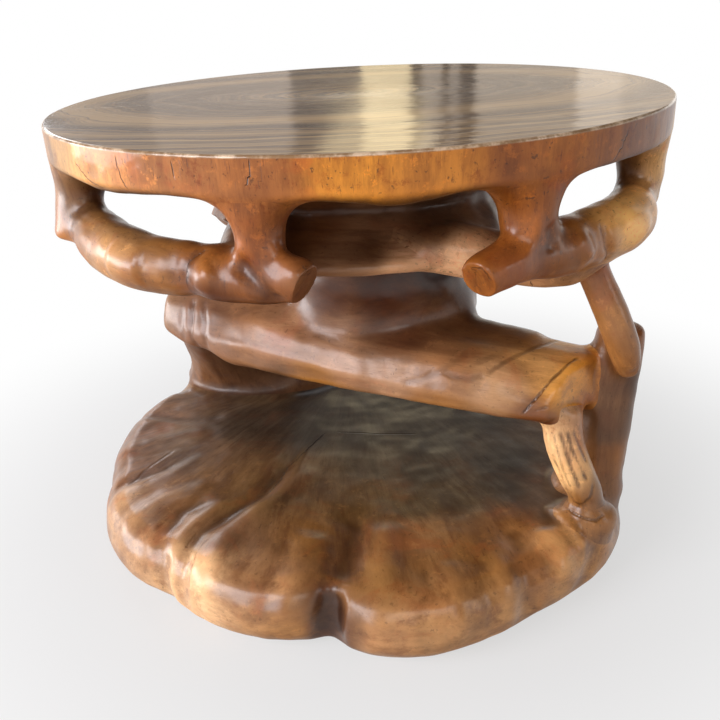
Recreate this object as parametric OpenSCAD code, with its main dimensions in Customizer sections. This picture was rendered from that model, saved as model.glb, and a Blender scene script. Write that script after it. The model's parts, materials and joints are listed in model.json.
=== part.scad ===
// Tree trunk side table: a round top on a ring of branch posts, a crown block and a leaning log,
// carried by a rear trunk and a right stump on a lobed root slab. Glued and dowelled, nothing moves.
// The origin lies on the floor under the centre of the top. X is right, Y is back, Z is up.

/* [Tabletop] */
// Height of the top face above the floor
table_height = 455; // [440:1:480]
// Diameter of the round top
top_diameter = 600; // [570:1:630]
// Thickness of the top at the posts, where its underside is flat
top_thickness = 36; // [32:1:42]
// Radius of the softened top rim
rim_round = 4; // [2:1:6]
// Taper of the apron edge, from the rim to its lower edge
apron_taper = 2; // [1:1:5]

/* [Posts] */
// Gap from the rim to the outer faces of the posts
post_inset = 3; // [2:1:8]
// Width of the front left post at its waist, along the rim
front_left_waist = 36; // [32:1:42]
// Width of the front right post at its waist, along the rim
front_right_waist = 43; // [38:1:48]
// Width of the left post at its waist, along the rim
left_waist = 56; // [50:1:62]
// Width of the right post at its waist, along the rim
right_waist = 46; // [40:1:52]
// Width of the two rear posts at their waists, along the rim
rear_waist = 42; // [36:1:48]
// Depth of a post at its waist, towards the centre
post_depth = 46; // [40:1:52]
// Extra width of a post's head on each side, where it spreads into the apron
head_spread = 19; // [12:1:24]
// Drop of the foot axes below the top face
foot_drop = 94; // [88:1:102]
// Reach of the side and rear posts below their foot axes
side_foot = 9; // [6:1:12]
// Lean of the left post's foot, out past the rim
left_lean = 12; // [6:1:16]
// Diameter of the foot bars that cross under the front posts
foot_bar = 40; // [36:1:44]
// Diameter of the sawn free ends of the foot bars
foot_tip = 33; // [29:1:36]

/* [Ring limbs] */
// Diameter of the left limb at its belly
left_limb_d = 51; // [46:1:56]
// Diameter of the right limb at its belly
right_limb_d = 52; // [46:1:56]
// Diameter of the arms that join the crown block to the ring
arm_d = 46; // [40:1:52]
// Diameter of the limbs at their glued ends
limb_end_d = 44; // [40:1:48]

/* [Crown block] */
// Width of the crown block under the top
crown_width = 356; // [336:1:370]
// Depth of the crown block under the top
crown_depth = 296; // [280:1:316]
// Drop of the crown block's flat underside below the top face
crown_drop = 132; // [126:1:140]
// Depth of the waist that is carved all round the crown block
crown_waist = 40; // [30:1:46]

/* [Leaning log] */
// Height of the log's axis above the floor at its left end
log_left_height = 223; // [216:1:230]
// Height of the log's axis above the floor at its right end
log_right_height = 194; // [188:1:200]
// Width of the log
log_width = 138; // [128:1:148]
// Thickness of the log at its middle
log_thickness = 92; // [86:1:98]
// Thickness of the log at its sawn right end
log_end_thickness = 56; // [52:1:62]
// Width of the log's branch stub, which carries the crown block
neck_width = 146; // [130:1:160]

/* [Root slab] */
// Diameter of the circle that the root slab's lobes play round
slab_width = 590; // [570:1:606]
// Thickness of the root slab
slab_height = 70; // [64:1:78]
// Depth of the creases between the slab's lobes
crease_depth = 24; // [14:1:30]
// Width of the slab's rounded edge, seen from above
slab_round = 26; // [20:1:32]

/* [Trunk, stump and struts] */
// Width of the rear trunk at its waist
trunk_width = 116; // [104:1:126]
// Width of the rear trunk where it spreads on the slab
trunk_foot = 236; // [210:1:250]
// Height of the right stump's top above the floor
stump_height = 246; // [238:1:254]
// Width of the right stump at its top
stump_width = 46; // [42:1:52]
// Diameter of the curved strut
curved_strut_d = 31; // [28:1:34]
// Diameter of the grooved strut
grooved_strut_d = 38; // [34:1:42]
// Height of the collar pad under the grooved strut
collar_height = 16; // [12:1:20]

/* [Dowels] */
// Diameter of the dowels
dowel_d = 12; // [10:1:14]
// Clearance of a dowel in its bore, on the diameter
dowel_clearance = 0.1; // [0.05:0.05:0.2]
// Length of a dowel on each side of its joint
dowel_reach = 22; // [18:1:26]
// Free space past a dowel's end in its bore
bore_relief = 1; // [0.5:0.5:2]

/* [Hidden] */

top_radius = top_diameter / 2;
under_top = table_height - top_thickness;
slab_radius = slab_width / 2;
crown_under = table_height - crown_drop;
limb_sides = 14;
body_sides = 24;
top_sides = 90;
slab_sides = 96;
up = [0, 0, 1];
back = [0, 1, 0];

// Azimuths of the posts round the top, in degrees from the right, front is -90
front_left_az = -107;
front_right_az = -63.5;
left_az = -160;
right_az = -21;
rear_left_az = 123;
rear_right_az = 42;

post_azimuths = [front_left_az, front_right_az, left_az, right_az, rear_left_az, rear_right_az];

// Azimuths of the two glued joints in the ring limbs, and of the curved strut's upper end
left_joint_az = -118;
right_joint_az = -51;
strut_top_az = -37.4;

// Stretches of the apron edge between two posts: from, to, extra hang in the middle
apron_spans = [[-150, -118, 5], [-97, -75, 8], [-12, 30, -4], [54, 111, -7], [135, 190, -5]];

// Lobes of the root slab: azimuth of the crease before it, share of the crease depth there,
// reach of the lobe past the slab's circle
slab_lobes = [[-170, -0.2, 14], [-135, 0, 6], [-99, 0.6, 20], [-60, -0.4, 15], [-25, 0.2, 2],
    [12, 0.3, 4], [52, 0.4, 6], [95, 0.3, 10], [138, 0.2, 14], [190, -0.2, 0]];

// Places seen from above, from the centre of the top
slab_centre = [-8, 0];
crown_centre = [-5, -20];
neck_place = [12, -42];
trunk_foot_place = [-134, 180];
stump_foot_place = [222, -132];
stump_top_place = [244, -124];
collar_place = [206, -188];
strut_head_place = [180, -164];
trunk_top_place = [-182, 62];

// How far the feet that stand on the slab reach down round its edge
foot_wrap = 22;
// Width of the hanging edge round the flat underside of the top
edge_width = 62;
// Middle ring of a rounded end: its share of the rounding's length, and of its shrink
round_middle = [0.55, 0.28];

// A unit vector along v
function unit(v) = v / norm(v);

// A point under the top: azimuth, distance in from the rim, drop below the top face
function spot(az, inset, drop) =
    [(top_radius - inset) * cos(az), (top_radius - inset) * sin(az), table_height - drop];

// The direction out from the centre at an azimuth
function outward(az) = [cos(az), sin(az), 0];

// A smooth curve value between b and c, with a and d as the values before and after
function curve(a, b, c, d, t) =
    b + (c - a) * t / 2 + (a - 2.5 * b + 2 * c - d / 2) * pow(t, 2)
        + (1.5 * (b - c) + (d - a) / 2) * pow(t, 3);

// Stations [x, y, z, half width, half depth] with smooth ones added between them
function smooth(s, steps) = [
    for (i = [0 : len(s) - 2], k = [0 : steps - 1])
        curve(s[max(i - 1, 0)], s[i], s[i + 1], s[min(i + 2, len(s) - 1)], k / steps),
    s[len(s) - 1]];

// A station from a point and two half sizes, and one from a place seen from above and a height
function at(p, w, d) = [p[0], p[1], p[2], w, d];
function over(place, z, w, d) = [place[0], place[1], z, w, d];
function place(s) = [s[0], s[1], s[2]];

// Unit outline of a limb, a little squarer than an ellipse where power is under 1
function oval(sides, power) = [
    for (i = [0 : sides - 1])
        let (c = cos(360 * i / sides), s = sin(360 * i / sides))
        [sign(c) * pow(abs(c), power), sign(s) * pow(abs(s), power)]];

// Unit outline of the leaning log: a D with a sawn ridge along its lower front
log_outline = [[1, -0.35], [1, 0.1], [0.82, 0.62], [0.45, 0.93], [0, 1], [-0.42, 0.86], [-0.76, 0.46],
    [-0.98, -0.12], [-1.02, -0.5], [-0.9, -0.72], [-0.5, -0.86], [0, -0.92], [0.5, -0.86], [0.85, -0.7]];

// Direction of a path at its station i
function heading(s, i) = unit(place(s[min(i + 1, len(s) - 1)]) - place(s[max(i - 1, 0)]));

// One ring of points round a station, square to dir, with its depth along hint
function ring(s, dir, hint, outline) =
    let (side = unit(cross(hint, dir)), lift = cross(dir, side))
    [for (q = outline) place(s) + side * q[0] * s[3] + lift * q[1] * s[4]];

// Two smaller stations past the end of a path, which round that end by size
function shrunk(s, dir, far, less) = at(place(s) + dir * far, max(s[3] - less, 1), max(s[4] - less, 1));
function rounded(s, dir, size) = size == 0 ? [] :
    [shrunk(s, dir, size * round_middle[0], size * round_middle[1]), shrunk(s, dir, size, size)];

// A closed skin over a list of rings with equal point counts
module skin(rings) {
    n = len(rings[0]);
    m = len(rings);
    points = [for (r = rings) each r];
    walls = [for (i = [0 : m - 2], j = [0 : n - 1])
        let (a = i * n + j, b = i * n + (j + 1) % n)
        each [[a, b + n, b], [a, a + n, b + n]]];
    first = [for (j = [0 : n - 1]) j];
    last = [for (j = [n - 1 : -1 : 0]) (m - 1) * n + j];
    polyhedron(points, concat([first], walls, [last]), convexity = 6);
}

// A limb swept through stations; its ends lie square to start_dir and end_dir where given,
// and are rounded by start_round and end_round
module limb(stations, hint, outline, steps = 3, start_dir = undef, end_dir = undef,
        start_round = 0, end_round = 0) {
    s = smooth(stations, steps);
    last = len(s) - 1;
    d0 = is_undef(start_dir) ? heading(s, 0) : start_dir;
    d1 = is_undef(end_dir) ? heading(s, last) : end_dir;
    function way(i) = i == 0 ? d0 : i == last ? d1 : heading(s, i);
    nose = rounded(s[0], -d0, start_round);
    tail = rounded(s[last], d1, end_round);
    skin(concat(
        [for (i = [len(nose) - 1 : -1 : 0]) ring(nose[i], d0, hint, outline)],
        [for (i = [0 : last]) ring(s[i], way(i), hint, outline)],
        [for (q = tail) ring(q, d1, hint, outline)]));
}

// A body stacked from level outlines, listed upwards or downwards; end_round rounds its far end
module stack(stations, hint, outline, steps = 3, end_round = 0) {
    s = smooth(stations, steps);
    last = len(s) - 1;
    dir = s[last][2] > s[0][2] ? up : -up;
    skin([for (q = concat(s, rounded(s[last], dir, end_round))) ring(q, dir, hint, outline)]);
}

// Joints: a centre and the direction that their dowel runs in
head_inset = post_inset + post_depth / 2;
function head_joint(az) = [spot(az, head_inset + 2, top_thickness), up];
left_joint = [spot(left_joint_az, 30, foot_drop + 1), unit([-0.8, 0.6, 0])];
right_joint = [spot(right_joint_az, 32, foot_drop + 2), unit([0.8, 0.6, 0])];

// Stations of a post from its head down to the foot axis
function post_stations(az, waist, foot_inset) =
    let (w = waist / 2, d = post_depth / 2, t = top_thickness, fall = foot_drop - top_thickness)
    [at(spot(az, head_inset + 3, t), w + head_spread, d + 5),
        at(spot(az, head_inset + 2, t + fall * 0.14), w + head_spread * 0.5, d + 3),
        at(spot(az, head_inset, t + fall * 0.34), w + head_spread * 0.1, d),
        at(spot(az, (head_inset + foot_inset) / 2 + 1, t + fall * 0.62), w, d - 2),
        at(spot(az, foot_inset, t + fall * 0.95), w - 2, d - 6)];

module front_left_body() {
    r = foot_bar / 2;
    stack(post_stations(front_left_az, front_left_waist, head_inset - 2), outward(front_left_az),
        oval(limb_sides, 0.85), steps = 2);
    limb([at(left_joint[0], r + 3, r + 2),
        at(spot(left_joint_az + 4.5, 24, foot_drop + 2), r + 2, r + 1),
        at(spot(front_left_az, head_inset - 3, foot_drop + 2), r, r),
        at(spot(front_left_az + 4.5, 18, foot_drop - 1), r - 1, r - 1),
        at(spot(front_left_az + 8, 13, foot_drop + 1), foot_tip / 2, foot_tip / 2)],
        up, oval(limb_sides, 1), start_dir = -left_joint[1], end_round = 4);
}

module front_right_body() {
    r = foot_bar / 2;
    stack(post_stations(front_right_az, front_right_waist, head_inset - 2), outward(front_right_az),
        oval(limb_sides, 0.85), steps = 2);
    limb([at(spot(front_right_az - 11, 8, foot_drop + 5), foot_tip / 2, foot_tip / 2),
        at(spot(front_right_az - 6, 16, foot_drop), r - 1, r - 1),
        at(spot(front_right_az, head_inset - 1, foot_drop - 1), r + 1, r + 1),
        at(spot(front_right_az + 6, head_inset, foot_drop + 1), r + 4, r + 4),
        at(right_joint[0], r + 5, r + 5)],
        up, oval(limb_sides, 1), end_dir = right_joint[1], start_round = 4);
}

// A side or rear post: it ends in a rounded foot below the ring limb that it carries
module plain_post_body(az, waist, lean = 0) {
    foot_round = 7;
    w = waist / 2;
    d = post_depth / 2;
    foot_end = foot_drop + side_foot;
    stack(concat(post_stations(az, waist, head_inset - 2 - lean),
        [at(spot(az, head_inset - 1 - lean, foot_end - foot_round), w, d - 3)]),
        outward(az), oval(limb_sides, 0.85), steps = 2, end_round = foot_round);
}

module left_post_body() {
    plain_post_body(left_az, left_waist, left_lean);
}

module right_post_body() {
    plain_post_body(right_az, right_waist);
}

// The left limb, from inside the left post to the joint at the front left foot
module left_limb_body() {
    belly = left_limb_d / 2;
    thin = limb_end_d / 2;
    limb([at(spot(left_az - 1, head_inset, foot_drop - 7), thin - 3, thin - 3),
        at(spot(left_az + 9, 29, foot_drop - 1), thin + 2, thin + 2),
        at(spot(left_az + 21, 28, foot_drop + 3), belly, belly),
        at(spot(left_joint_az - 8.5, 28, foot_drop + 3), belly - 2, belly - 2),
        at(left_joint[0], thin, thin)],
        up, oval(limb_sides, 1), end_dir = -left_joint[1]);
}

// The right limb, from the joint at the front right foot to inside the right post
module right_limb_body() {
    belly = right_limb_d / 2;
    thin = limb_end_d / 2;
    limb([at(right_joint[0], thin + 2, thin + 2),
        at(spot(right_joint_az + 9, 30, foot_drop + 4), belly, belly),
        at(spot(right_joint_az + 19, 26, foot_drop + 2), belly, belly),
        at(spot(right_az + 1, 30, foot_drop - 2), thin - 2, thin - 2)],
        up, oval(limb_sides, 1), start_dir = right_joint[1], end_round = 6);
}

// The crown block, by levels: share of its height from the top down, how much narrower its
// half width and half depth are there, and how far forward it lies there
module crown_body() {
    fall = crown_drop - top_thickness;
    function level(share, in_w, in_d, forward) =
        over(crown_centre - [0, forward], under_top - fall * share,
            crown_width / 2 - in_w, crown_depth / 2 - in_d);
    stack([level(0, -22, -4, 0),
        level(0.2, -2, 0, 0),
        level(0.45, crown_waist, crown_waist * 0.5, -2),
        level(0.66, crown_waist * 0.8, 4, 4),
        level(0.85, 26, -14, 10),
        level(0.95, 36, -4, 10),
        level(1, 50, 14, 10)],
        back, oval(body_sides, 0.92), steps = 2);
}

// Arms from the crown block out to the ring
module left_arm_body() {
    r = arm_d / 2;
    limb([over(crown_centre + [-70, -75], table_height - foot_drop, r + 8, r + 4),
        at(spot(left_joint_az - 3, 107, foot_drop - 2), r - 1, r - 1),
        at(spot(left_joint_az + 6, 36, foot_drop), r - 4, r - 4)],
        up, oval(limb_sides, 1));
}

module right_arm_body() {
    r = arm_d / 2;
    low = foot_drop + 24;
    limb([over(crown_centre + [30, -126], table_height - low + 8, r + 2, r - 4),
        over(crown_centre + [84, -138], table_height - low + 3, r + 6, r + 1),
        at(spot(right_joint_az - 2, 92, low + 4), r + 2, r),
        at(spot(right_joint_az + 2.5, 46, low), r, r),
        at(spot(right_joint_az + 14, 38, foot_drop + 12), r, r - 1),
        at(spot(right_joint_az + 20, 30, foot_drop + 3), r - 9, r - 9)],
        up, oval(limb_sides, 1));
}

module rear_arm_body(az) {
    r = arm_d / 2;
    root_inset = top_radius - 80;
    limb([at(spot(az, root_inset, foot_drop), r + 6, r),
        at(spot(az, root_inset / 2, foot_drop - 2), r - 1, r - 1),
        at(spot(az, head_inset, foot_drop - 4), r - 5, r - 5)],
        up, oval(limb_sides, 1));
}

// Ends of the leaning log's axis
log_left = [-214, 50, log_left_height];
log_right = [216, -150, log_right_height];

// Where the log is sawn off, and the way that the sawn face looks
log_cut_place = [196, -162, log_right_height];
log_cut = unit([0.62, -0.76, 0.12]);

function along_log(share) = log_left + (log_right - log_left) * share;

module log_body() {
    w = log_width / 2;
    h = log_thickness / 2;
    end_h = log_end_thickness / 2;
    cut = 2 * log_width;
    difference() {
        union() {
            limb([at(log_left, w * 0.5, h * 0.68),
                at(along_log(0.1), w * 0.72, h * 0.86),
                at(along_log(0.3), w * 0.98, h),
                at(along_log(0.6), w, h * 0.55 + end_h * 0.45),
                at(log_right, w * 0.84, end_h)],
                up, log_outline, end_dir = unit(log_right - log_left), start_round = 10);
            neck_body();
        }
        along([[log_cut_place, log_cut]]) translate([-cut / 2, -cut / 2, 0]) cube(cut);
    }
}

// The branch stub on top of the log
module neck_body() {
    r = neck_width / 2;
    stack([over(neck_place, crown_under, r, r * 0.92),
        over(neck_place + [0, 2], crown_under - 26, r * 1.02, r * 0.9),
        over(neck_place + [10, 6], crown_under - 58, r * 1.34, r * 0.92),
        over(neck_place + [4, 12], along_log(0.5)[2], r * 1.3, r * 0.6)],
        back, oval(16, 0.95), steps = 2);
}

module rear_trunk_body() {
    w = trunk_width / 2;
    f = trunk_foot / 2;
    rise = log_left_height - slab_height;
    stack([over(trunk_foot_place + [4, -4], slab_height - foot_wrap, f * 0.86, 62),
        over(trunk_foot_place, slab_height, f * 0.98, 74),
        over(trunk_foot_place + [-8, -4], slab_height + rise * 0.1, f * 0.86, 67),
        over(trunk_foot_place + [-30, -22], slab_height + rise * 0.3, w * 1.25, 60),
        over(trunk_top_place + [2, 62], slab_height + rise * 0.6, w, 54),
        over(trunk_top_place + [0, 26], slab_height + rise * 0.9, w * 0.84, 44),
        over(trunk_top_place, log_left_height, w * 0.6, 24)],
        back, oval(18, 0.95), steps = 2);
}

// The right stump stands upright beside the log's sawn end
module right_stump_body() {
    r = stump_width / 2;
    rise = stump_height - slab_height;
    top_round = 5;
    way = stump_top_place - stump_foot_place;
    stack([over(stump_foot_place, slab_height - foot_wrap, r + 5, r + 6),
        over(stump_foot_place, slab_height, r + 12, r + 13),
        over(stump_foot_place + way * 0.1, slab_height + rise * 0.12, r + 8, r + 8),
        over(stump_foot_place + way * 0.45, slab_height + rise * 0.4, r + 5, r + 4),
        over(stump_foot_place + way * 0.8, slab_height + rise * 0.75, r + 2, r + 2),
        over(stump_top_place, stump_height - top_round, r, r)],
        back, oval(16, 0.9), steps = 2, end_round = top_round);
}

module curved_strut_body() {
    r = curved_strut_d / 2;
    limb([at(spot(strut_top_az, 55, foot_drop + 14), r - 1, r - 1),
        at(spot(strut_top_az + 1, 46, foot_drop + 50), r, r),
        over(stump_top_place + [-22, -34], stump_height + 26, r, r),
        over(stump_top_place + [-9, -37], stump_height - 8, r, r),
        over(stump_top_place + [-2, -34], stump_height - 34, r - 4, r - 5)],
        back, oval(limb_sides, 1), end_round = 5);
}

module grooved_strut_body() {
    r = grooved_strut_d / 2;
    low = slab_height + collar_height;
    way = collar_place - strut_head_place;
    limb([over(strut_head_place, log_right_height - 14, r + 4, r + 2),
        over(strut_head_place + [0, -9], log_right_height - 38, r, r),
        over(strut_head_place + way * 0.3 + [0, -10], low + 44, r, r),
        over(strut_head_place + way * 0.8 + [0, -4], low + 14, r - 2, r - 2),
        over(collar_place, low, r - 4, r - 4)],
        back, oval(limb_sides, 1), end_dir = -up);
}

module collar_body() {
    r = grooved_strut_d / 2;
    stack([over(collar_place, slab_height - foot_wrap, r + 4, r),
        over(collar_place, slab_height, r + 11, r + 7),
        over(collar_place, slab_height + collar_height * 0.6, r + 8, r + 4),
        over(collar_place, slab_height + collar_height, r + 2, r - 1)],
        back, oval(18, 1), steps = 2);
}

// Extra hang of the apron edge at an azimuth
function hang(az) = sum_of([for (s = apron_spans) az > s[0] && az < s[1]
    ? s[2] * pow(sin(180 * (az - s[0]) / (s[1] - s[0])), 2) : 0]);
function sum_of(v, i = 0) = i < len(v) ? v[i] + sum_of(v, i + 1) : 0;

module tabletop_body() {
    lip = 3;
    flat = 11;
    azimuths = [for (i = [0 : top_sides - 1]) -160 + 360 * i / top_sides];
    function round_line(inset, drop, share) =
        [for (a = azimuths) spot(a, inset, drop + share * hang(a))];
    skin([
        round_line(apron_taper + edge_width, top_thickness, 0),
        round_line(apron_taper + lip + flat, top_thickness, 1),
        round_line(apron_taper + lip, top_thickness, 1),
        round_line(apron_taper, top_thickness - lip, 1),
        round_line(apron_taper * 0.3, rim_round + 6, 0),
        round_line(0, rim_round, 0),
        round_line(rim_round * 0.3, rim_round * 0.3, 0),
        round_line(rim_round, 0, 0)]);
}

// Radius of the slab's outline at an azimuth, within one turn from the first crease
function slab_reach(az) =
    let (k = max([for (i = [0 : len(slab_lobes) - 2]) az >= slab_lobes[i][0] ? i : 0]),
        a = slab_lobes[k], b = slab_lobes[k + 1], u = (az - a[0]) / (b[0] - a[0]),
        low = -crease_depth * ((1 - u) * a[1] + u * b[1]))
    slab_radius + low + (a[2] - low) * pow(sin(180 * u), 0.7);

// The slab's edge by levels: distance in from its outline, share of its height
slab_levels = [[30, 0], [14, 0.1], [3, 0.28], [0, 0.46], [slab_round * 0.15, 0.7],
    [slab_round * 0.5, 0.9], [slab_round, 1]];

module root_slab_body() {
    azimuths = [for (i = [0 : slab_sides - 1]) slab_lobes[0][0] + 360 * i / slab_sides];
    skin([for (l = slab_levels) [for (a = azimuths)
        let (p = slab_centre + (slab_reach(a) - l[0]) * [cos(a), sin(a)])
        [p[0], p[1], slab_height * l[1]]]]);
}

// Dowel joints, each a centre on the joint and the direction of its dowel
crown_top_joints = [for (p = [[-90, 30], [80, 40], [-5, -100]]) [[p[0], p[1], under_top], up]];
neck_joints = [for (x = [-34, 34]) [[neck_place[0] + x, neck_place[1] - 2, crown_under], up]];
left_limb_joint = [spot(left_az + 4, head_inset + 2, foot_drop - 4), unit([0.45, -0.89, -0.06])];
right_limb_joint = [spot(right_az - 4, head_inset + 2, foot_drop), unit([0.4, 0.91, 0])];
left_arm_joint = [[-97, -154, table_height - foot_drop + 1], unit([-0.3, -0.95, 0])];
left_arm_foot_joint = [spot(left_joint_az + 6, 52, foot_drop), unit([-0.15, -1, 0])];
right_arm_joint = [[106, -140, table_height - foot_drop - 28], unit([0.64, -0.77, 0])];
right_arm_foot_joint = [spot(right_joint_az + 8, 40, foot_drop + 14), unit([0.5, -0.5, 0.7])];
function rear_arm_joint(az) =
    [[115 * cos(az), 115 * sin(az), table_height - foot_drop + 1], outward(az)];
function rear_foot_joint(az) =
    [spot(az, head_inset + post_depth / 2 - 6, foot_drop - 3), outward(az)];
trunk_log_joint = [[trunk_top_place[0] + 10, trunk_top_place[1] + 14, log_left_height - 24],
    unit([0.2, -0.75, 0.62])];
stump_log_joint = [[219, -137, log_right_height + 2], unit([0.85, 0.45, 0])];
trunk_joints = [for (p = [[-62, -4], [-2, 20], [52, 0]])
    [[trunk_foot_place[0] + p[0], trunk_foot_place[1] + p[1], slab_height], up]];
stump_joint = [[stump_foot_place[0] + 4, stump_foot_place[1] + 8, slab_height], up];
strut_top_joint = [spot(strut_top_az + 1, 49, foot_drop + 35), unit([0.2, 0, -1])];
strut_stump_joint = [[stump_top_place[0] - 4, stump_top_place[1] - 24, stump_height - 28],
    unit([0.1, 1, 0])];
strut_log_joint = [[strut_head_place[0] + 1, strut_head_place[1] - 4, log_right_height - 22],
    unit([0, -0.2, -1])];
collar_joint = [[collar_place[0] - 3, collar_place[1] + 1, slab_height + collar_height / 2], up];

// How far each kind of dowel reaches to either side of its joint
strut_reach = dowel_reach * 0.6;
collar_reach = dowel_reach + collar_height / 2;

// Dowels or their bores turned to their joints
module along(joints) {
    for (j = joints)
        translate(j[0]) rotate([0, acos(j[1][2]), atan2(j[1][1], j[1][0])]) children();
}

module dowels(joints, reach = dowel_reach) {
    along(joints) cylinder(h = 2 * reach, d = dowel_d, center = true, $fn = 48);
}

module bores(joints, reach = dowel_reach) {
    along(joints)
        cylinder(h = 2 * (reach + bore_relief), d = dowel_d + dowel_clearance, center = true, $fn = 48);
}

module tabletop() {
    color("#8f6440") difference() {
        tabletop_body();
        bores([for (az = post_azimuths) head_joint(az)]);
        bores(crown_top_joints);
    }
}

module crown_block() {
    color("#5d3a20") difference() {
        crown_body();
        bores(crown_top_joints);
        bores(neck_joints);
        bores([left_arm_joint, right_arm_joint]);
        bores([rear_arm_joint(rear_left_az), rear_arm_joint(rear_right_az)]);
    }
}

module front_left_post() {
    color("#b06a2c") difference() {
        front_left_body();
        bores([head_joint(front_left_az), left_joint, left_arm_foot_joint]);
    }
}

module front_right_post() {
    color("#b06a2c") difference() {
        front_right_body();
        bores([head_joint(front_right_az), right_joint]);
    }
}

module left_post() {
    color("#a8642c") difference() {
        left_post_body();
        bores([head_joint(left_az), left_limb_joint]);
    }
}

module right_post() {
    color("#a8642c") difference() {
        right_post_body();
        bores([head_joint(right_az), right_limb_joint]);
    }
}

module rear_post(az) {
    color("#a8642c") difference() {
        plain_post_body(az, rear_waist);
        bores([head_joint(az), rear_foot_joint(az)]);
    }
}

module left_limb() {
    color("#b97f45") difference() {
        left_limb_body();
        left_post_body();
        bores([left_limb_joint, left_joint]);
    }
}

module right_limb() {
    color("#b97f45") difference() {
        right_limb_body();
        right_post_body();
        bores([right_limb_joint, right_joint, right_arm_foot_joint]);
    }
}

module left_arm() {
    color("#6d4426") difference() {
        left_arm_body();
        crown_body();
        front_left_body();
        left_limb_body();
        bores([left_arm_joint, left_arm_foot_joint]);
    }
}

module right_arm() {
    color("#9a6a3c") difference() {
        right_arm_body();
        crown_body();
        front_right_body();
        right_limb_body();
        right_post_body();
        bores([right_arm_joint, right_arm_foot_joint]);
        bores([strut_top_joint], strut_reach);
    }
}

module rear_arm(az) {
    color("#6d4426") difference() {
        rear_arm_body(az);
        crown_body();
        plain_post_body(az, rear_waist);
        bores([rear_arm_joint(az), rear_foot_joint(az)]);
    }
}

module leaning_log() {
    color("#a9764a") difference() {
        log_body();
        bores(neck_joints);
        bores([trunk_log_joint, stump_log_joint]);
        bores([strut_log_joint], strut_reach);
    }
}

module rear_trunk() {
    color("#6f4a30") difference() {
        rear_trunk_body();
        log_body();
        root_slab_body();
        bores(trunk_joints);
        bores([trunk_log_joint]);
    }
}

module right_stump() {
    color("#7d5132") difference() {
        right_stump_body();
        log_body();
        root_slab_body();
        bores([stump_joint, stump_log_joint]);
        bores([strut_stump_joint], strut_reach);
    }
}

module curved_strut() {
    color("#a06a3c") difference() {
        curved_strut_body();
        right_stump_body();
        right_limb_body();
        right_arm_body();
        bores([strut_top_joint, strut_stump_joint], strut_reach);
    }
}

module grooved_strut() {
    color("#b07a48") difference() {
        grooved_strut_body();
        log_body();
        right_stump_body();
        bores([strut_log_joint], strut_reach);
        bores([collar_joint], collar_reach);
    }
}

module collar_pad() {
    color("#8a5a34") difference() {
        collar_body();
        right_stump_body();
        root_slab_body();
        bores([collar_joint], collar_reach);
    }
}

module root_slab() {
    color("#4f3f2c") difference() {
        root_slab_body();
        bores(trunk_joints);
        bores([stump_joint]);
        bores([collar_joint], collar_reach);
    }
}

module post_dowels() {
    color("#c9a36a") dowels([for (az = post_azimuths) head_joint(az)]);
}

module crown_dowels() {
    color("#c9a36a") dowels(concat(crown_top_joints, neck_joints));
}

module limb_dowels() {
    color("#c9a36a") dowels([left_limb_joint, left_joint, right_joint, right_limb_joint]);
}

module arm_dowels() {
    color("#c9a36a") {
        dowels([left_arm_joint, left_arm_foot_joint, right_arm_joint, right_arm_foot_joint]);
        for (az = [rear_left_az, rear_right_az]) dowels([rear_arm_joint(az), rear_foot_joint(az)]);
    }
}

module log_dowels() {
    color("#c9a36a") dowels([trunk_log_joint, stump_log_joint]);
}

module strut_dowels() {
    color("#c9a36a") {
        dowels([strut_top_joint, strut_stump_joint, strut_log_joint], strut_reach);
        dowels([collar_joint], collar_reach);
    }
}

module slab_dowels() {
    color("#c9a36a") dowels(concat(trunk_joints, [stump_joint]));
}

tabletop();
crown_block();
front_left_post();
front_right_post();
left_post();
right_post();
rear_post(rear_left_az);  // rear_left_post
rear_post(rear_right_az);  // rear_right_post
left_limb();
right_limb();
left_arm();
right_arm();
rear_arm(rear_left_az);  // rear_left_arm
rear_arm(rear_right_az);  // rear_right_arm
leaning_log();
rear_trunk();
right_stump();
curved_strut();
grooved_strut();
collar_pad();
root_slab();
post_dowels();
crown_dowels();
limb_dowels();
arm_dowels();
log_dowels();
strut_dowels();
slab_dowels();
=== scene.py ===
"""Looks of the tree trunk side table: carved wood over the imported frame, lacquer and light."""
import json
import math

import bmesh
import bpy
import numpy as np
from mathutils import Matrix, Vector, noise
from mathutils.bvhtree import BVHTree


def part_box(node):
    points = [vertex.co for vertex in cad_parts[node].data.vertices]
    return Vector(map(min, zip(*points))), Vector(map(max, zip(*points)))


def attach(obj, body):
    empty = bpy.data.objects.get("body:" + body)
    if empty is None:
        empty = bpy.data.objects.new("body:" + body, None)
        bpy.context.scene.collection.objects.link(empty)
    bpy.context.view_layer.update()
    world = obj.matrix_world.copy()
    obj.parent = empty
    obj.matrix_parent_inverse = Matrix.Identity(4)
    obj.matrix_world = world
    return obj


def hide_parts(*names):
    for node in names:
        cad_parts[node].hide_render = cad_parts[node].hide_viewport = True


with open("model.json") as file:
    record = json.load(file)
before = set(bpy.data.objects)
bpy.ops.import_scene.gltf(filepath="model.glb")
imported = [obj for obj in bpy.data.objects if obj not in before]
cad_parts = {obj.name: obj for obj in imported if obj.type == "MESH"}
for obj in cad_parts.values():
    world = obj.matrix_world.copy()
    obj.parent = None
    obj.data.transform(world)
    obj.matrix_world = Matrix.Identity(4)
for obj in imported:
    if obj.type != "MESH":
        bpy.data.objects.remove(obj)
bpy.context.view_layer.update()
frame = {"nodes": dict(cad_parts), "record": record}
NODES = frame["nodes"]
SLOTS = {s["node"]: s["material_slot"] for s in frame["record"]["subparts"]}
WOOD = sorted(n for n in NODES if not n.endswith("_dowels"))
INDEX = {n: k for k, n in enumerate(WOOD)}

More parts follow.
